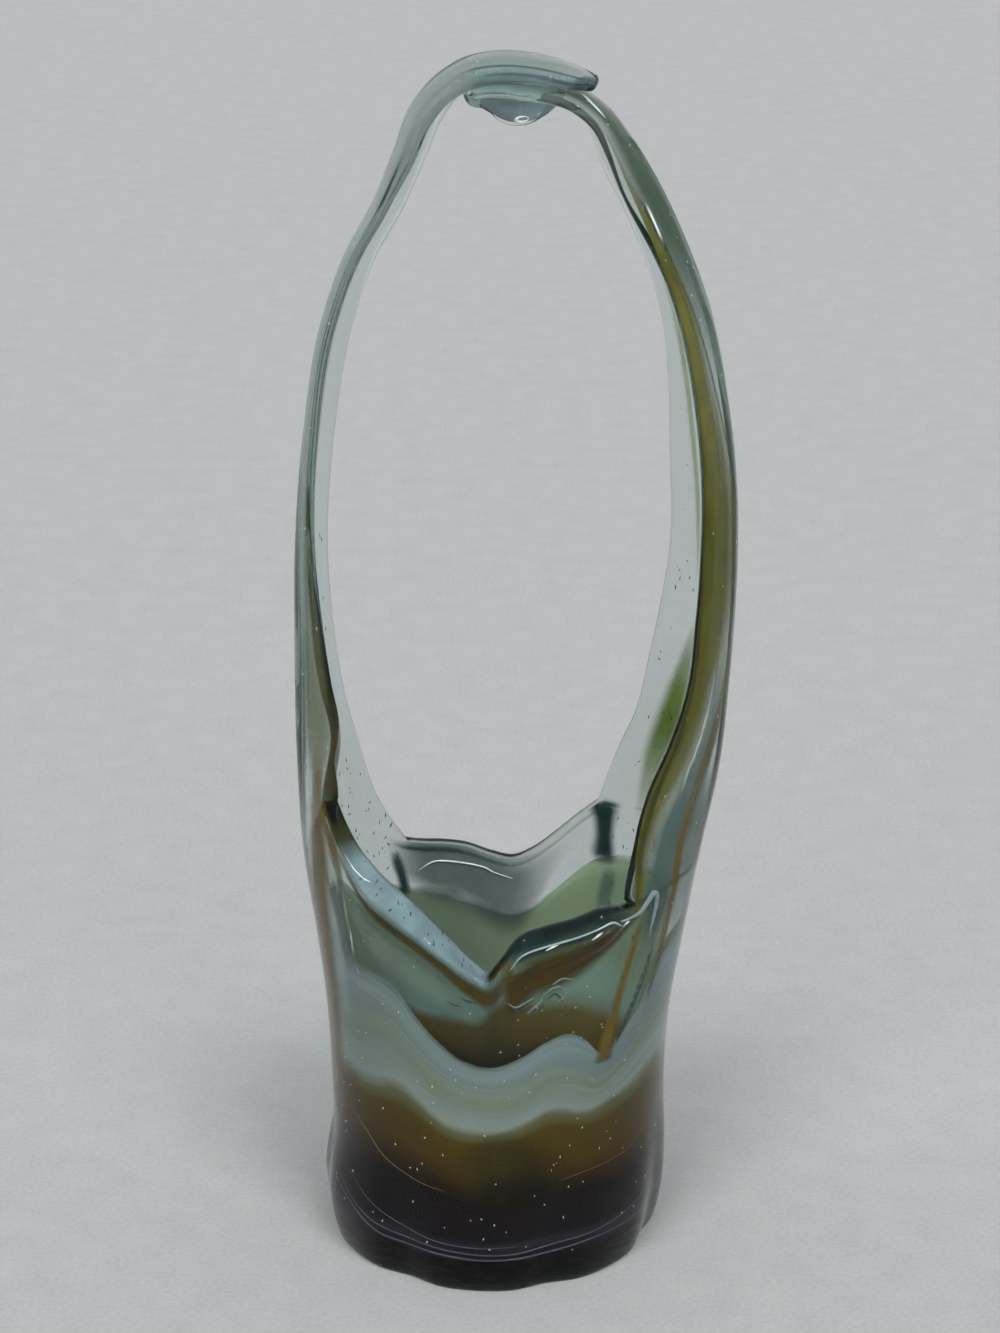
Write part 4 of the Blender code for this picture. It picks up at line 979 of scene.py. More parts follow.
RIGHT_FAR_SMEAR = ((0.99, 139, 3, 0.0), (0.95, 139, 4, 0.45), (0.88, 140, 4, 0.4), (0.80, 140, 3, 0.0))
BORDER_AMBER = (
    (1.10, 46.4, 1.2, 0.4), (1.06, 45.4, 1.8, 0.8), (0.97, 43.0, 2.2, 0.9), (0.88, 40.8, 2.6, 0.95),
    (0.80, 39.4, 3.2, 0.95), (0.74, 38.0, 4.2, 0.95), (0.68, 37.4, 4.6, 0.6),
)
NOTCH_AMBER = (
    (1.05, 1.6, 1.6, 0.5), (0.98, 2.4, 2.2, 0.95), (0.92, 3.6, 2.0, 0.9), (0.86, 5.2, 1.6, 0.0),
)
PANEL_HAIRLINE = (
    (1.02, 53.6, 0.4, 0.0), (0.98, 53, 0.55, 0.8), (0.90, 50, 0.6, 0.85), (0.82, 46.5, 0.6, 0.8),
    (0.745, 42.5, 0.6, 0.6), (0.72, 41, 0.5, 0.0),
)

# Streaks that follow the front rim: azimuth, depth under the rim and half thickness in rim
# heights, strength
LIP_AMBER = (
    (-58, 0.050, 0.020, 0.0), (-50, 0.047, 0.023, 0.7), (-40, 0.043, 0.021, 0.9),
    (-25, 0.042, 0.022, 0.92), (-12, 0.046, 0.029, 0.97), (-4, 0.053, 0.041, 0.95),
    (0, 0.055, 0.042, 0.85), (4, 0.055, 0.030, 0.0),
)
# Painted light: a pale aqua sheet that lightens the shaded wall below the lip's amber.
LIP_AQUA_LIGHT = (
    (-60, 0.12, 0.04, 0.0), (-48, 0.135, 0.06, 0.4), (-30, 0.13, 0.065, 0.5), (-14, 0.115, 0.05, 0.3),
    (0, 0.10, 0.04, 0.0),
)
ROLL_AMBER = (
    (0, 0.06, 0.03, 0.0), (3, 0.105, 0.080, 0.95), (12, 0.110, 0.092, 1.0), (22, 0.100, 0.085, 1.0),
    (30, 0.085, 0.068, 1.0), (37, 0.062, 0.045, 0.95), (42, 0.04, 0.02, 0.6), (45, 0.04, 0.01, 0.0),
)
ROLL_DARK = (
    (1.5, 0.02, 0.010, 0.0), (6, 0.030, 0.017, 0.9), (15, 0.032, 0.018, 0.95), (25, 0.030, 0.017, 0.95),
    (33, 0.026, 0.014, 0.9), (40, 0.022, 0.010, 0.5), (43.5, 0.02, 0.01, 0.0),
)
ROLL_BACK_DARK = (
    (0, 0.02, 0.015, 0.0), (5, 0.02, 0.025, 0.75), (20, 0.02, 0.03, 0.8), (36, 0.02, 0.03, 0.8),
    (42.8, 0.02, 0.02, 0.5), (46, 0.02, 0.01, 0.0),
)
BACK_LIP_SHADE = (
    (146, 0.05, 0.05, 0.0), (160, 0.06, 0.06, 0.15), (166, 0.09, 0.12, 0.45), (172, 0.10, 0.16, 0.75),
    (180, 0.09, 0.17, 0.88), (188, 0.075, 0.16, 0.9), (198, 0.065, 0.15, 0.9), (208, 0.05, 0.13, 0.85),
    (214, 0.05, 0.09, 0.6), (222, 0.05, 0.05, 0.0),
)
BACK_LIP_EDGE = (
    (146, 0.006, 0.008, 0.5), (160, 0.006, 0.008, 0.4), (175, 0.006, 0.009, 0.6),
    (190, 0.006, 0.011, 0.85), (214, 0.006, 0.011, 0.85), (220, 0.006, 0.01, 0.0),
)

AMBER = (0.115, 0.075, 0.010)
DARK_AMBER = (0.050, 0.033, 0.005)
OLIVE = (0.088, 0.084, 0.012)
DARK_OLIVE = (0.030, 0.032, 0.012)
DARK_TEAL = (0.016, 0.036, 0.038)
TEAL = (0.050, 0.085, 0.078)
GREY_AQUA = (0.13, 0.185, 0.17)
GREEN_SHADE = (0.044, 0.072, 0.046)
PALE_AQUA = (0.52, 0.62, 0.62)
PALE_GREEN = (0.26, 0.32, 0.12)
# Pale aqua of painted light under the front lip.
PAINTED_LIGHT_AQUA = (0.165, 0.220, 0.190)
LIGHT_OLIVE = (0.155, 0.150, 0.050)
BRIGHT_GREEN = (0.165, 0.225, 0.035)
MAUVE = (0.15, 0.145, 0.165)
SMOKE = (0.062, 0.092, 0.092)
BLUE_SHADE = (0.085, 0.135, 0.145)
LAP_BLUE = (0.135, 0.200, 0.215)
# Blue-grey of the drop, made paler as painted light.
LIGHTENED_DROP_BLUE = (0.31, 0.385, 0.43)
EDGE_BROWN = (0.042, 0.034, 0.008)
# Pale violet of a painted reflection low on the body.
VIOLET = (0.044, 0.043, 0.070)
LIP_BLUE = (0.165, 0.235, 0.262)
ROLL_BROWN = (0.042, 0.027, 0.004)
DARK_SEED = (0.012, 0.022, 0.022)
# Pale painted highlight along the roll's crease.
PALE_CREASE_HIGHLIGHT = (0.34, 0.44, 0.46)
HOOK_TINT = (0.19, 0.255, 0.27)
# Pale tint of painted highlights on the crinkled marks.
MARK_HIGHLIGHT_TINT = (0.15, 0.195, 0.18)
# Smoky green, partly the foot's own tint and partly painted shade.
SMOKY_GREEN_AND_SHADE = (0.012, 0.018, 0.013)
LENS_OLIVE = (0.034, 0.027, 0.005)
LENS_DARK = (0.006, 0.005, 0.002)
ORANGE = (0.078, 0.038, 0.008)
BROWN_MAUVE = (0.085, 0.060, 0.050)
# White glass of the pale seeds and the left seam, also the colour of painted highlights.
WHITE_GLASS_AND_HIGHLIGHT = (0.75, 0.82, 0.82)

# Share of a streak's half width over which it fades, and a rim height that no strap reaches
STREAK_SOFTNESS = 0.7
NO_RIM = 9.0


def streak(values, distance, inside):
    """Strength of a streak: whole in its middle, soft towards its edge, nothing past its ends."""
    across = 1 - ease((distance - (1 - STREAK_SOFTNESS)) / STREAK_SOFTNESS)
    return np.where(inside, np.clip(values[..., 2], 0, 1) * across, 0.0)


def rising_streak(azimuths, heights, table):
    """Strength of a streak that runs up a wall or a strap."""
    rows = sorted(table)
    values = smooth_table(rows, np.ravel(heights) / RIM_HEIGHT).reshape(*np.shape(heights), 3)
    inside = (heights > rows[0][0] * RIM_HEIGHT) & (heights < rows[-1][0] * RIM_HEIGHT)
    return streak(values, np.abs(azimuths - values[..., 0]) / np.maximum(values[..., 1], 0.05), inside)


def rim_streak(azimuths, heights, rims, table):
    """Strength of a streak that follows the rim at a depth below it."""
    turned = azimuths % 360.0 if table[0][0] > 90 else azimuths
    values = smooth_table(table, np.ravel(turned)).reshape(*np.shape(heights), 3)
    inside = (turned > table[0][0]) & (turned < table[-1][0])
    depth = (rims - heights) / RIM_HEIGHT
    return streak(values, np.abs(depth - values[..., 0]) / np.maximum(values[..., 1], 1e-4), inside)


def overlay(shape, layers):
    """Colour and opacity of streaks laid one over the other, the first at the bottom."""
    colour = np.zeros((*shape, 3))
    cover = np.zeros(shape)
    for tint, strength in layers:
        strength = strength[..., None]
        total = strength[..., 0] + cover * (1 - strength[..., 0])
        mixed = np.array(tint) * strength + colour * (cover[..., None] * (1 - strength))
        colour = mixed / np.maximum(total, 1e-6)[..., None]
        cover = total
    return colour, cover


def veil_sheets(depth_share):
    """Points, azimuths and rim heights of the sheets that a veil is cut from: the body's, which
    wraps round, then one for each strap."""
    body = BODY_OUTER + (BODY_INNER - BODY_OUTER) * depth_share
    cap = body[-1:] + UPWARD * RIM_CAP
    cap[0, IS_FRONT_LIP] = body[-1, IS_FRONT_LIP] + UPWARD * FACE_CAP
    body = np.concatenate((body, cap))
    parts = [(body, np.broadcast_to(RING, body.shape[:2]), np.broadcast_to(RIM_OUTER, body.shape[:2]))]
    for side, (outer, inward, wall) in zip((LEFT_SIDE, RIGHT_SIDE), STRAPS):
        points = outer + inward * (wall * depth_share)[:, :, None]
        parts.append((points, np.broadcast_to(side.azimuths, points.shape[:2]),
                      np.full(points.shape[:2], NO_RIM)))
    return parts


def drop_loose_points(data):
    """Removes the points of a mesh that no face uses."""
    work = bmesh.new()
    work.from_mesh(data)
    loose = [corner for corner in work.verts if not corner.link_faces]
    bmesh.ops.delete(work, geom=loose, context="VERTS")
    work.to_mesh(data)
    work.free()


def make_veil(name, material, depth_share, rising, along_rim, replaces=()):
    """A sheet of streaked colour in the glass, some of it painted shade, light and highlights, kept only
    where a streak covers it.
    """
    build = Builder()
    tints = []
    covers = []
    for points, azimuths, rims in veil_sheets(depth_share):
        heights = points[..., 2]
        layers = [(tint, rising_streak(azimuths, heights, table)) for tint, table in rising]
        layers += [(tint, rim_streak(azimuths, heights, rims, table)) for tint, table in along_rim]
        colour, cover = overlay(heights.shape, layers)
        numbers = build.add(points)
        if not tints:
            numbers = np.concatenate((numbers, numbers[:, :1]), axis=1)
        tints.append(colour.reshape(-1, 3))
        covers.append(cover.ravel())
        cells = quads(numbers)
        shown = np.concatenate(covers)[cells].max(axis=-1) > 0.01
        build.faces += cells[shown].tolist()
    data = build.mesh(name)
    paint(data, "tint", np.concatenate(tints))
    paint(data, "cover", np.concatenate(covers))
    drop_loose_points(data)
    piece(name, data, material, replaces)


def veil_material():
    """Streaks of coloured glass that thin out into the clear glass round them."""
    shader = Shader("veil_colour")
    fibres = shader.noise(shader.mapping(shader.place(), (160.0, 160.0, 90.0)), 1.0, 2.0, 0.2)
    light = shader.ramp(fibres, ((0.30, 0.88, 0.88, 0.86), (0.66, 1.12, 1.11, 1.06)))
    thin = shader.math("ADD", shader.math("MULTIPLY", fibres, 0.22), 0.89)
    shader.surface(Base_Color=shader.mix(1.0, shader.attribute("tint"), light, "MULTIPLY"),
                   Alpha=shader.math("MULTIPLY", shader.attribute("cover", "Fac"), thin, clamp=True),
                   Roughness=0.7, Specular_IOR_Level=0.0)
    return shader.material


def lip_face(material):
    """Pale blue glass just under the slanting face of the front left lip."""
    columns = np.arange(LEFT_FRONT + 3, -1)
    index = [column_index(c) for c in columns]
    outer, inner = BODY_OUTER[-1][index], BODY_INNER[-1][index]
    low_outer, low_inner = BODY_OUTER[-4][index], BODY_INNER[-4][index]
    bulge = FACE_BULGE * np.linalg.norm(outer - inner, axis=1) / 2
    rows = [low_outer + (low_inner - low_outer) * 0.06]
    for share in np.linspace(0.04, 0.96, 9):
        lift = bulge * 0.8 * np.sqrt(max(1 - (2 * share - 1) ** 2, 0.0))
        rows.append(outer + (inner - outer) * share + np.outer(lift, UPWARD))
    rows.append(low_inner + (low_outer - low_inner) * 0.06)
    azimuths = columns * 360.0 / COLUMNS
    ends = ease((azimuths - azimuths[0]) / 2) * ease((azimuths[-1] - azimuths) / 4)
    across = np.array([0.0] + [1.0] * 9 + [0.0])
    to_blue = ease((azimuths - azimuths[0] - 3) / 7)[:, None]
    tint = np.array(DARK_OLIVE) * (1 - to_blue) + np.array(LIP_BLUE) * to_blue
    sheet("lip_face", rows, tint, 0.88 * across[:, None] * ends[None, :], material)


def near_edge(rows):
    """Lines inside the left strap's rounded near edge, from its inner to its outer side."""
    outer, inward, wall = STRAPS[0]
    half = inward[rows, 0] * (wall[rows, 0] / 2)[:, None]
    middle = outer[rows, 0] + half
    out = unit(np.cross(half, unit(np.gradient(middle, axis=0))))
    out *= np.sign((out * (outer[rows, 0] - outer[rows, 4])).sum(axis=1))[:, None]
    reach = out * (wall[rows, 0] * 0.35)[:, None]
    return [middle + half * 0.92 * math.cos(angle) + reach * math.sin(angle)
            for angle in np.radians(np.linspace(20, 160, 11))]


def root_edge(material):
    """Brown glass in the left strap's near edge, just above the lip."""
    rows = np.nonzero(STRAP_SHARES < ROOT_EDGE_END)[0]
    shares = STRAP_SHARES[rows]
    cover = 0.86 * ease(shares / 0.012) * ease((ROOT_EDGE_END - shares) / 0.05)
    sheet("root_edge", near_edge(rows), EDGE_BROWN, cover, material)


# Run shares where the brown root edge ends, the lap band starts and the lap itself starts, and
# how far the band reaches past the strap's last row and draws in there
ROOT_EDGE_END = 0.17
BAND_START = 0.62
LAP_START = 0.85
LAP_CAP = ((0.0004, 0.05), (0.0008, 0.15), (0.0011, 0.35))
BAND_COLUMNS = 16
BAND_DEPTH = 0.0005


def lap_band(material):
    """Blue shade in the lap's front edge, with dark lines above and below it and a dark tip."""
    outer, inward, _ = STRAPS[0]
    rows = np.nonzero(STRAP_SHARES > BAND_START)[0]
    grid = near_edge(rows)
    middle = np.mean([line[-1] for line in grid], axis=0)
    grid += [outer[rows, column] + inward[rows, column] * BAND_DEPTH
             for column in range(1, BAND_COLUMNS + 1)]
    grid = np.array(grid)
    last = grid[:, -1]
    ahead = unit(last - grid[:, -4])
    cap = [last + ahead * step + (middle - last) * inset for step, inset in LAP_CAP]
    grid = np.concatenate((grid, np.stack(cap, axis=1)), axis=1)
    shares = np.concatenate((STRAP_SHARES[rows], np.ones(len(cap))))
    across = np.arange(len(grid))[:, None] / 16
    on_lap = ease((shares - LAP_START) / 0.03)[None, :]
    above = ease((across - 0.74) / 0.10) * ease((0.99 - across) / 0.08) * on_lap
    below = ease((0.16 - across) / 0.10) * on_lap
    top = (0.85 + 0.75 * ease((shares - 0.980) / 0.016))[None, :]
    at_tip = ease((shares - 0.974) / 0.012)[None, :] * ease((top - across) / 0.25)
    dark = np.clip(above + below + 0.8 * at_tip, 0.0, 1.0)
    face = ease((0.78 - across) / 0.06)
    cover = 0.62 * on_lap * face + 0.85 * dark * (1 - 0.62 * on_lap * face)
    before_lap = (1 - on_lap) * face * ease((shares - BAND_START) / 0.06) * (shares < 0.95)
    cover = np.clip(cover + 0.32 * before_lap, 0.0, 1.0)
    on_lap = on_lap[:, :, None]
    dark = dark[:, :, None]
    tint = np.array(MAUVE) * (1 - on_lap) + np.array(LAP_BLUE) * on_lap
    tint = tint * (1 - dark) + np.array(DARK_TEAL) * dark
    sheet("lap_band", grid, tint, cover, material)


def drop_shade(material):
    """Blue-grey glass inside the hanging drop, made paler as painted light because the lap shades it, with
    a line of painted shade along its lowest part.
    """
    right_end = DROP_REACH + 0.010
    outer, inward, wall = STRAPS[1]
    rows = np.nonzero(outer[:, outer.shape[1] // 2, 2] > CROWN_LEVEL)[0]
    extra = drop_swell(outer)[rows]
    points = outer[rows] + inward[rows] * ((wall[rows] + extra) * 0.92)[:, :, None]
    to_left = ease((right_end - points[..., 0]) / 0.012)
    cover = 0.80 * ease(extra / 0.003) * (0.7 + 0.3 * to_left)
    outline_shade = ease(1.3 - np.abs(points[..., 1] - 0.0008) / 0.0012)
    outline_shade *= ease((0.007 - points[..., 0]) / 0.004)
    outline_shade = 0.85 * outline_shade * ease(extra / 0.001)
    cover = cover + (0.9 - cover) * outline_shade
    outline_shade = outline_shade[..., None]
    tint = np.array(LIGHTENED_DROP_BLUE) * (1 - outline_shade) + np.array(DARK_TEAL) * outline_shade
    sheet("drop_shade", points, tint, cover, material)


def foot_shade(material):
    """Smoky green glass round the bottom edge of the foot and in the pontil hollow, partly the foot's own
    tint and partly painted shade that darkens its rim and underside.
    """
    inset = 0.0007
    rings = [body_point(RING, inset * 6, inset)]
    for angle in np.radians(np.linspace(90, 20, 7)):
        rings.append(body_point(RING, FOOT_ROUNDING - (FOOT_ROUNDING - inset) * math.cos(angle),
                                FOOT_ROUNDING - (FOOT_ROUNDING - inset) * math.sin(angle)))
    rings.append(body_point(RING, inset, BODY_RADIUS - PONTIL_RADIUS - 3 * PONTIL_DEPTH))
    rings.append(body_point(RING, PONTIL_DEPTH + inset, BODY_RADIUS - PONTIL_RADIUS))
    rings.append(body_point(RING, PONTIL_DEPTH + inset, BODY_RADIUS - PONTIL_RADIUS / 3))
    fade = np.array([0.0, 0.55] + [0.95] * (len(rings) - 3) + [0.9])
    sheet("foot_shade", rings, SMOKY_GREEN_AND_SHADE, fade[:, None], material, wrap=True)


class Trails(Builder):
    """Fine trails and seeds of glass in the wall, each with a tint of its own."""

    def __init__(self):
        super().__init__()
        self.tints = []

    def trail(self, places, tint, sides=8):
        """A tapering trail through places: azimuth, height, depth and radius in millimetres."""
        rows = np.array(places, dtype=float)
        knots = np.linspace(0.0, 1.0, len(rows))
        rows = smooth_table(np.column_stack((knots, rows)), np.linspace(0.0, 1.0, 8 * len(rows)))
        line = body_point(rows[:, 0], rows[:, 1] / 1000, rows[:, 2] / 1000)
        along = unit(np.gradient(line, axis=0))
        turn = np.radians(rows[:, 0])
        across = unit(np.cross(along, np.column_stack((np.sin(turn), -np.cos(turn), 0 * turn))))
        normal = np.cross(across, along)
        turns = np.linspace(0, 2 * math.pi, sides, endpoint=False)[None, :, None]
        radius = np.maximum(rows[:, 3], 0.02)[:, None, None] / 1000
        rings = line[:, None] + radius * (np.cos(turns) * normal[:, None] + np.sin(turns) * across[:, None])
        numbers = self.add(rings)
        self.grid(numbers, wrap=True)
        for end in (0, -1):
            self.fan(numbers[end], self.add(line[end][None, :])[0])
        self.tints.append(np.tile(tint, (numbers.size + 2, 1)))

    def seed(self, middle, along, length, width, tint):
        """A small pointed seed, half its length and half its width given."""
        side = unit(np.cross(along, np.array([0.3, 0.5, 0.8])))
        other = np.cross(along, side)
        tips = [along * length, -along * length, side * width, other * width, -side * width,
                -other * width]
        top, bottom, *ring = self.add(np.array([middle + tip for tip in tips])).tolist()
        for start, after in zip(ring, ring[1:] + ring[:1]):
            self.faces += [[start, after, top], [after, start, bottom]]
        self.tints.append(np.tile(tint, (6, 1)))

    def ring(self, middle, across, upward, thickest, tint):
        """A closed ring round a middle, its half axes given; it thins out towards one side."""
        rings = []
        for turn in np.linspace(0, 2 * math.pi, 24, endpoint=False):
            spoke = across * math.cos(turn) + upward * math.sin(turn)
            tube = thickest * (0.6 - 0.4 * math.cos(turn + 0.6))
            out = unit(spoke)
            beside = unit(np.cross(across, upward))
            rings.append([middle + spoke + tube * (math.cos(angle) * out + math.sin(angle) * beside)
                          for angle in np.linspace(0, 2 * math.pi, 8, endpoint=False)])
        numbers = self.add(np.array(rings))
        self.grid(np.concatenate((numbers, numbers[:1])), wrap=True)
        self.tints.append(np.tile(tint, (numbers.size, 1)))

    def finish(self, name, material, slot):
        """The trails and seeds as one shown piece."""
        data = self.mesh(name)
        paint(data, "tint", np.concatenate(self.tints))
        piece(name, data, material)


def trail_material():
    """Glossy glass in its own tint, faintly cloudy."""
    shader = Shader("trail_glass")
    cloud = shader.ramp(shader.noise(shader.place(), 900.0, 2.0), (
        (0.3, 0.85, 0.85, 0.85), (0.7, 1.1, 1.1, 1.1)))
    shader.surface(Base_Color=shader.mix(1.0, shader.attribute("tint"), cloud, "MULTIPLY"), Roughness=0.12)
    return shader.material


# Trails and painted glints on the front, and fine lines under the casing, the violet ones a
# painted reflection: azimuth, then height, depth and radius in millimetres
# A real crease on the roll, drawn pale: its pale line is a painted highlight along it.
ROLL_CREASE = (
    (3, 110.5, 0.1, 0.15), (6.4, 115.5, -0.9, 0.30), (12.9, 118.2, -1.3, 0.34), (22.5, 120.2, -1.3, 0.32),
    (28.9, 121.8, -1.1, 0.34), (33.2, 122.8, -0.7, 0.40), (36.4, 121.2, -0.2, 0.30),
)
HOOK = (
    (36.4, 122.4, 0.1, 0.3), (40.5, 122.6, 0.0, 0.5), (44.0, 123.6, 0.0, 0.7), (46.6, 126.2, 0.0, 0.8),
    (48.6, 128.6, 0.0, 0.9), (50.2, 127.4, 0.0, 0.95), (50.8, 123.6, 0.1, 0.85), (50.6, 118.8, 0.2, 0.6),
    (50.2, 113.5, 0.3, 0.2),
)
HOOK_TAIL = (
    (53.4, 108.5, 0.3, 0.2), (51.5, 101.5, 0.3, 0.3), (47.6, 91.5, 0.3, 0.3), (42.0, 80.5, 0.4, 0.2),
)
# Crinkled marks below the roll: the pale trails are their painted highlights, the dark ones their painted
# shade.
PRESSED_MARK_HIGHLIGHTS = (
    ((2.6, 99.4, 0.2, 0.15), (5.0, 98.0, 0.2, 0.30), (8.0, 99.6, 0.2, 0.30), (10.4, 101.0, 0.1, 0.2)),
    ((8.6, 96.0, 0.2, 0.2), (10.4, 97.6, 0.2, 0.34), (12.6, 99.6, 0.2, 0.28), (13.0, 102.2, 0.1, 0.2)),
    ((13.6, 101.4, 0.2, 0.2), (15.6, 103.4, 0.2, 0.30), (18.6, 103.6, 0.2, 0.34), (20.0, 100.6, 0.1, 0.3),
     (17.6, 98.8, 0.2, 0.2)),
    ((16.0, 104.8, 0.2, 0.2), (19.0, 106.4, 0.2, 0.28), (22.6, 105.4, 0.1, 0.2)),
)
PRESSED_SHADES = (
    ((3.0, 98.2, 0.1, 0.12), (6.0, 96.8, 0.1, 0.3), (9.4, 98.6, 0.1, 0.12)),
    ((9.2, 94.8, 0.1, 0.12), (11.6, 96.4, 0.1, 0.32), (13.8, 98.8, 0.1, 0.12)),
    ((14.4, 99.8, 0.1, 0.12), (17.0, 101.6, 0.1, 0.35), (19.6, 99.0, 0.1, 0.12)),
    ((-12.0, 101.0, 0.1, 0.1), (-9.6, 99.8, 0.1, 0.28), (-7.4, 99.4, 0.1, 0.1)),
    ((-16.4, 99.4, 0.1, 0.1), (-14.0, 98.4, 0.1, 0.25), (-11.8, 98.0, 0.1, 0.1)),
)
# Painted highlights: a white line along the back lip and short white glints on the roll.
BACK_GLINT = (
    (-150.5, 105.2, 4.7, 0.1), (-156.4, 107.3, 4.7, 0.28), (-163.9, 106.3, 4.7, 0.34),
    (-173.6, 103.9, 4.7, 0.28), (-178.0, 101.6, 4.7, 0.22), (-184.5, 99.4, 4.7, 0.1),
)
ROLL_GLINTS = (
    ((12.8, 117.0, -1.5, 0.1), (14.6, 118.0, -1.6, 0.34), (16.4, 118.6, -1.5, 0.1)),
    ((26.6, 118.6, -1.5, 0.1), (28.4, 119.8, -1.6, 0.36), (29.8, 120.6, -1.5, 0.1)),
    ((37.2, 120.6, -0.5, 0.1), (38.6, 121.4, -0.5, 0.34), (39.8, 121.8, -0.5, 0.1)),
)
# Painted reflection: pale violet lines low round the front, where the bright floor shows in the curved
# glass.
FOOT_REFLECTION_LINES = (
    ((-72, 25.0, 1.2, 0.1), (-58, 20.6, 1.2, 0.3), (-47, 16.0, 1.2, 0.4), (-37.5, 13.6, 1.2, 0.42),
     (-17, 12.9, 1.2, 0.42), (-4.3, 12.1, 1.2, 0.42), (7.5, 12.3, 1.2, 0.42), (20.4, 12.7, 1.2, 0.4),
     (34.3, 14.8, 1.2, 0.35), (52.5, 15.6, 1.2, 0.3), (71.8, 17.5, 1.2, 0.1)),
    ((-66, 26.0, 1.2, 0.1), (-50, 19.4, 1.2, 0.25), (-37, 16.2, 1.2, 0.3), (-17, 14.8, 1.2, 0.3),
     (-2, 13.9, 1.2, 0.3), (12, 14.4, 1.2, 0.3), (30, 16.6, 1.2, 0.28), (48, 19.2, 1.2, 0.25),
     (66, 24.0, 1.2, 0.1)),
    ((-60, 30.0, 1.2, 0.1), (-44, 23.0, 1.2, 0.2), (-28, 18.4, 1.2, 0.22), (-8, 16.4, 1.2, 0.2),
     (8, 16.8, 1.2, 0.1)),
)
ORANGE_LINES = (
    ((-58, 51.0, 1.2, 0.1), (-51, 47.0, 1.2, 0.22), (-42, 40.5, 1.2, 0.26), (-29, 36.0, 1.2, 0.22),
     (-18, 34.5, 1.2, 0.1)),
    ((22, 37.5, 1.2, 0.1), (32, 39.0, 1.2, 0.22), (50, 41.0, 1.2, 0.26), (61, 46.5, 1.2, 0.24),
     (68, 53.0, 1.2, 0.1)),
)

# A small pale ring at the drop's bottom, a painted highlight: its middle, half axes and greatest half
# thickness
DROP_GLINT_RING = (np.array([0.0080, -0.0048, 0.3639]), np.array([0.0018, 0.0, 0.0002]),
            np.array([0.0, 0.0006, -0.0009]), 0.00055)


def make_trails(material):
    """The crease on the roll, painted glints, the hooked trail beside it, the pressed marks in painted
    highlight and shade, and the fine lines, the violet ones a painted reflection.
    """
    for name, slot, sorts in (
            ("roll_crease_and_glints", "clear_glass",
             ((PALE_CREASE_HIGHLIGHT, (ROLL_CREASE,)), (WHITE_GLASS_AND_HIGHLIGHT, (*ROLL_GLINTS, BACK_GLINT)))),
            ("hooked_trail", "clear_glass", ((HOOK_TINT, (HOOK,)), (DARK_TEAL, (HOOK_TAIL,)))),
            ("pressed_mark_highlights_and_shade", "clear_glass", ((MARK_HIGHLIGHT_TINT, PRESSED_MARK_HIGHLIGHTS), (DARK_TEAL, PRESSED_SHADES))),
            ("orange_lines_and_reflections", "amethyst_glass", ((VIOLET, FOOT_REFLECTION_LINES), (ORANGE, ORANGE_LINES)))):
        build = Trails()
        for tint, lines in sorts:
            for places in lines:
                build.trail(places, tint)
        if name == "roll_crease_and_glints":
            build.ring(*DROP_GLINT_RING, WHITE_GLASS_AND_HIGHLIGHT)
        build.finish(name, material, slot)


def leaning(draw, direction, spread):
    """A direction with a random lean."""
    return unit(direction + draw.normal(0.0, spread, 3))


def seed_in_casing(draw):
    """A place and direction in the body's casing."""
    azimuth = draw.uniform(-180, 180)
    top = float(RIM_OUTER[column_index(round(azimuth * COLUMNS / 360.0))])
    height = draw.uniform(0.012, min(top - 0.004, 0.128))
    return body_point(azimuth, height, draw.uniform(0.0006, 0.0016)), leaning(draw, UPWARD, 0.5)


def seed_in_strap(draw):
    """A place and direction just under a strap's outer side."""
    outer, inward, wall = STRAPS[int(draw.integers(0, 2))]
    row = int(draw.integers(6, 200))
    column = int(draw.integers(2, outer.shape[1] - 2))
    point = outer[row, column] + inward[row, column] * wall[row, column] * draw.uniform(0.1, 0.35)
    return point, unit(outer[row + 1, column] - outer[row - 1, column])


def seed_in_back(draw):
    """A place and direction in the clear glass at the back of the rim."""
    azimuth = float(draw.choice((-1, 1))) * draw.uniform(100, 143)
    point = body_point(azimuth, draw.uniform(0.088, 0.126), draw.uniform(0.001, 0.0045))
    return point, leaning(draw, UPWARD, 0.5)


def seed_in_panel(draw):
    """A place and direction in the clear far half of a strap's root."""
    outer, inward, wall = STRAPS[int(draw.integers(0, 2))]
    row = int(draw.integers(1, 70))
    column = int(draw.integers(outer.shape[1] // 2, outer.shape[1] - 2))
    point = outer[row, column] + inward[row, column] * wall[row, column] * draw.uniform(0.2, 0.8)
    return point, leaning(draw, UPWARD, 0.4)


def seed_in_face(draw):
    """A place and direction in the slanting face of the front left lip."""
    column = column_index(int(draw.integers(LEFT_FRONT + 8, -3)))
    across = BODY_INNER[-1][column] - BODY_OUTER[-1][column]
    point = BODY_OUTER[-1][column] + across * draw.uniform(0.1, 0.9) + UPWARD * 0.0005
    return point, leaning(draw, unit(across), 0.4)


# Kinds of seed: where they lie, how many, and the least and greatest half length and half width
PALE_SEEDS = (
    (seed_in_casing, 330, (0.0002, 0.0006), (0.00014, 0.00024)),
    (seed_in_strap, 150, (0.0002, 0.0007), (0.00014, 0.00022)),
)
DARK_SEEDS = (
    (seed_in_back, 170, (0.0004, 0.0012), (0.00017, 0.00028)),
    (seed_in_panel, 110, (0.0004, 0.0012), (0.00017, 0.00028)),
    (seed_in_face, 22, (0.0006, 0.0018), (0.00018, 0.00028)),
)


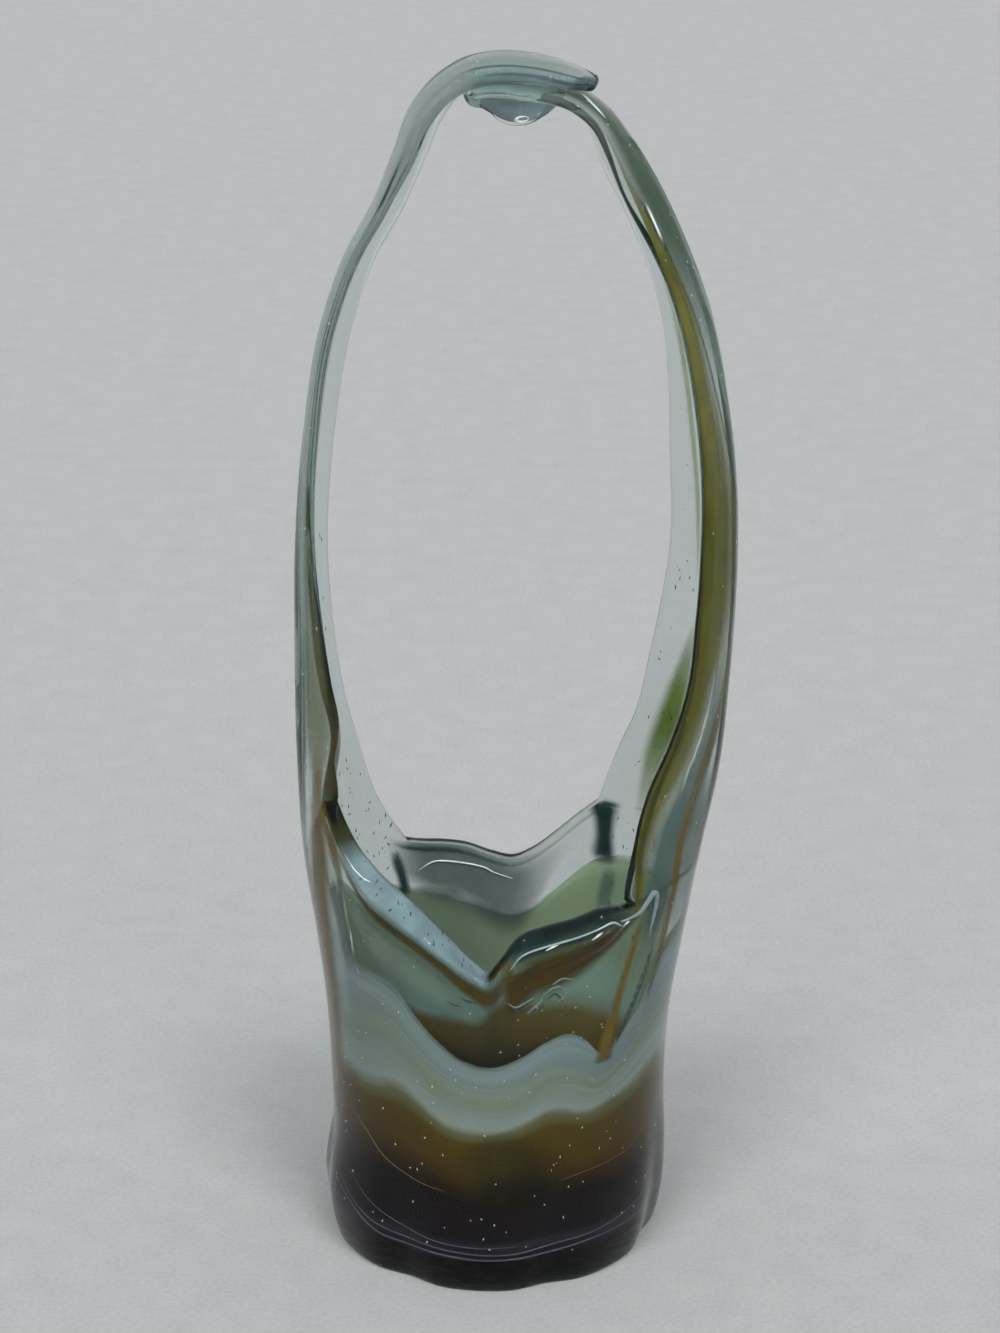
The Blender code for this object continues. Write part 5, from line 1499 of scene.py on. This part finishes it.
def make_seeds(material):
    """Seeds in the glass: pale ones over the dark colours, dark ones in the clear panels."""
    draw = np.random.default_rng(11)
    for name, slot, tint, kinds in (("pale_seeds", "opal_glass", WHITE_GLASS_AND_HIGHLIGHT, PALE_SEEDS),
                                    ("dark_seeds", "smoky_glass", DARK_SEED, DARK_SEEDS)):
        build = Trails()
        for place, number, lengths, widths in kinds:
            for _ in range(number):
                point, along = place(draw)
                build.seed(point, along, draw.uniform(*lengths), draw.uniform(*widths), tint)
        build.finish(name, material, slot)


# Streaks of each veil with their colours, the lowest layer first
NEAR_RISING = (
    (GREY_AQUA, LEFT_NEAR_SHADE), (OLIVE, LEFT_OLIVE_TINT), (PALE_AQUA, LEFT_PALE),
    (AMBER, LEFT_OUTER_AMBER), (AMBER, LEFT_INNER_AMBER), (MAUVE, LEFT_MAUVE),
    (DARK_OLIVE, LEFT_OLIVE_EDGE), (WHITE_GLASS_AND_HIGHLIGHT, LEFT_SEAM), (DARK_OLIVE, LEFT_OUTLINE),
    (GREY_AQUA, RIGHT_ROOT_SHADE), (TEAL, RIGHT_TEAL), (GREY_AQUA, RIGHT_SHADE),
    (GREEN_SHADE, RIGHT_TOP_SHADE), (OLIVE, RIGHT_OLIVE), (LIGHT_OLIVE, RIGHT_LIGHT_OLIVE),
    (DARK_OLIVE, RIGHT_DARK_EDGE), (DARK_OLIVE, RIGHT_DARK_LINE), (DARK_OLIVE, RIGHT_DART_SHADE),
    (WHITE_GLASS_AND_HIGHLIGHT, RIGHT_GLINT), (WHITE_GLASS_AND_HIGHLIGHT, RIGHT_TOP_GLINT), (BROWN_MAUVE, RIGHT_MAUVE),
    (AMBER, RIGHT_OUTER_AMBER), (PALE_AQUA, RIGHT_PALE_LINE), (BRIGHT_GREEN, RIGHT_GREEN_PATCH),
    (PALE_GREEN, RIGHT_GREEN_STRIP), (LENS_OLIVE, LENS_DISC), (LENS_DARK, LENS_CRESCENT),
    (AMBER, BORDER_AMBER), (AMBER, NOTCH_AMBER), (DARK_TEAL, PANEL_HAIRLINE),
)
NEAR_ALONG_RIM = (
    (PAINTED_LIGHT_AQUA, LIP_AQUA_LIGHT), (DARK_AMBER, LIP_AMBER), (ROLL_BROWN, ROLL_AMBER),
    (DARK_TEAL, ROLL_DARK),
)
FAR_RISING = (
    (BLUE_SHADE, RIGHT_FAR_SMEAR), (DARK_TEAL, RIGHT_FAR_NOTCH), (DARK_TEAL, LEFT_FAR_NOTCH),
)
FAR_ALONG_RIM = (
    (DARK_TEAL, ROLL_BACK_DARK), (SMOKE, BACK_LIP_SHADE), (DARK_TEAL, BACK_LIP_EDGE),
)

make_glass(glass_material())
make_core(core_material())
VEIL = veil_material()
make_veil("near_veil", VEIL, 0.24, NEAR_RISING, NEAR_ALONG_RIM,
          replaces=("amber_streak", "olive_streak"))
make_veil("far_veil", VEIL, 0.78, FAR_RISING, FAR_ALONG_RIM)
for make_sheet in (lip_face, root_edge, lap_band, drop_shade, foot_shade):
    make_sheet(VEIL)
TRAIL = trail_material()
make_trails(TRAIL)
make_seeds(TRAIL)


def stage_material():
    """Pale grey paper, faintly mottled."""
    shader = Shader("pale_paper")
    place = shader.place()
    mottle = shader.math("ADD", shader.math("MULTIPLY", shader.noise(place, 70.0, 4.0), 0.35),
                         shader.math("MULTIPLY", shader.noise(place, 650.0, 2.0), 0.65))
    colour = shader.ramp(mottle, ((0.32, 0.455, 0.460, 0.465), (0.68, 0.540, 0.543, 0.545)), smooth=False)
    shader.surface(Base_Color=colour, Roughness=0.9, Specular_IOR_Level=0.1)
    return shader.material


# The paper floor's reach to each side and to the back, and the curve behind it
FLOOR_SIDE = 15.0
FLOOR_BACK = 5.0
CURVE_RADIUS = 1.5
BACKDROP_HEIGHT = 5.0


def make_stage():
    """A wide paper floor that curves up far behind the vase."""
    build = Builder()
    profile = [(-FLOOR_SIDE, 0.0), (FLOOR_BACK, 0.0)]
    for angle in np.radians(np.linspace(5, 90, 12)):
        profile.append((FLOOR_BACK + CURVE_RADIUS * math.sin(angle), CURVE_RADIUS * (1 - math.cos(angle))))
    profile.append((FLOOR_BACK + CURVE_RADIUS, BACKDROP_HEIGHT))
    xs = np.linspace(-FLOOR_SIDE, FLOOR_SIDE, 25)
    rows = np.array([[(x, y, z) for x in xs] for y, z in profile])
    build.grid(build.add(rows - SHIFT))
    data = build.mesh("paper_floor")
    data.materials.append(stage_material())
    link("paper_floor", data)


def strip_light(name, place, size, power):
    """A narrow soft lamp that looks at the vase and gives only highlights."""
    lamp = bpy.data.lights.new(name, "AREA")
    lamp.shape = "RECTANGLE"
    lamp.size, lamp.size_y = size
    lamp.energy = power
    item = link(name, lamp)
    item.location = place
    direction = np.array([0.0, 0.0, 0.2]) - np.array(place)
    item.rotation_euler = Vector(direction).to_track_quat("-Z", "Y").to_euler()
    item.visible_diffuse = False


def sun_light(name, azimuth, strength):
    """A broad soft sun that leaves no reflection."""
    lamp = bpy.data.lights.new(name, "SUN")
    lamp.energy = strength
    lamp.angle = math.radians(24.0)
    item = link(name, lamp)
    item.rotation_euler = (math.radians(44.0), 0.0, math.radians(azimuth))
    item.visible_glossy = False


make_stage()
strip_light("strip_right", (0.75, -0.95, 1.35), (0.07, 0.55), 6.0)
strip_light("strip_left", (-0.85, -0.75, 1.25), (0.07, 0.50), 5.0)
sun_light("key_right", 27.0, 1.34)
sun_light("key_left", -25.0, 1.22)

scene = bpy.context.scene
scene.world = bpy.data.worlds.new("studio")
scene.world.use_nodes = True
background = scene.world.node_tree.nodes["Background"]
background.inputs["Color"].default_value = (0.93, 0.95, 0.97, 1.0)
background.inputs["Strength"].default_value = 0.42

# The camera looks down on the vase from the front, as the photograph does
PHOTO_HEIGHT = 1333.0
FOCAL_PIXELS = 3782.0
CAMERA_PLACE = np.array([0.0015, -1.10, 0.60])
CAMERA_TILT = 20.40
camera_data = bpy.data.cameras.new("camera")
camera_data.sensor_width = 36.0
camera_data.lens = camera_data.sensor_width * FOCAL_PIXELS / PHOTO_HEIGHT
camera_data.clip_start = 0.05
camera_data.clip_end = 30.0
camera = link("camera", camera_data)
camera.location = CAMERA_PLACE + SHIFT
camera.rotation_euler = (math.radians(90.0 - CAMERA_TILT), 0.0, 0.0)
scene.camera = camera
scene.view_settings.view_transform = "Standard"
scene.cycles.transparent_max_bounces = 24
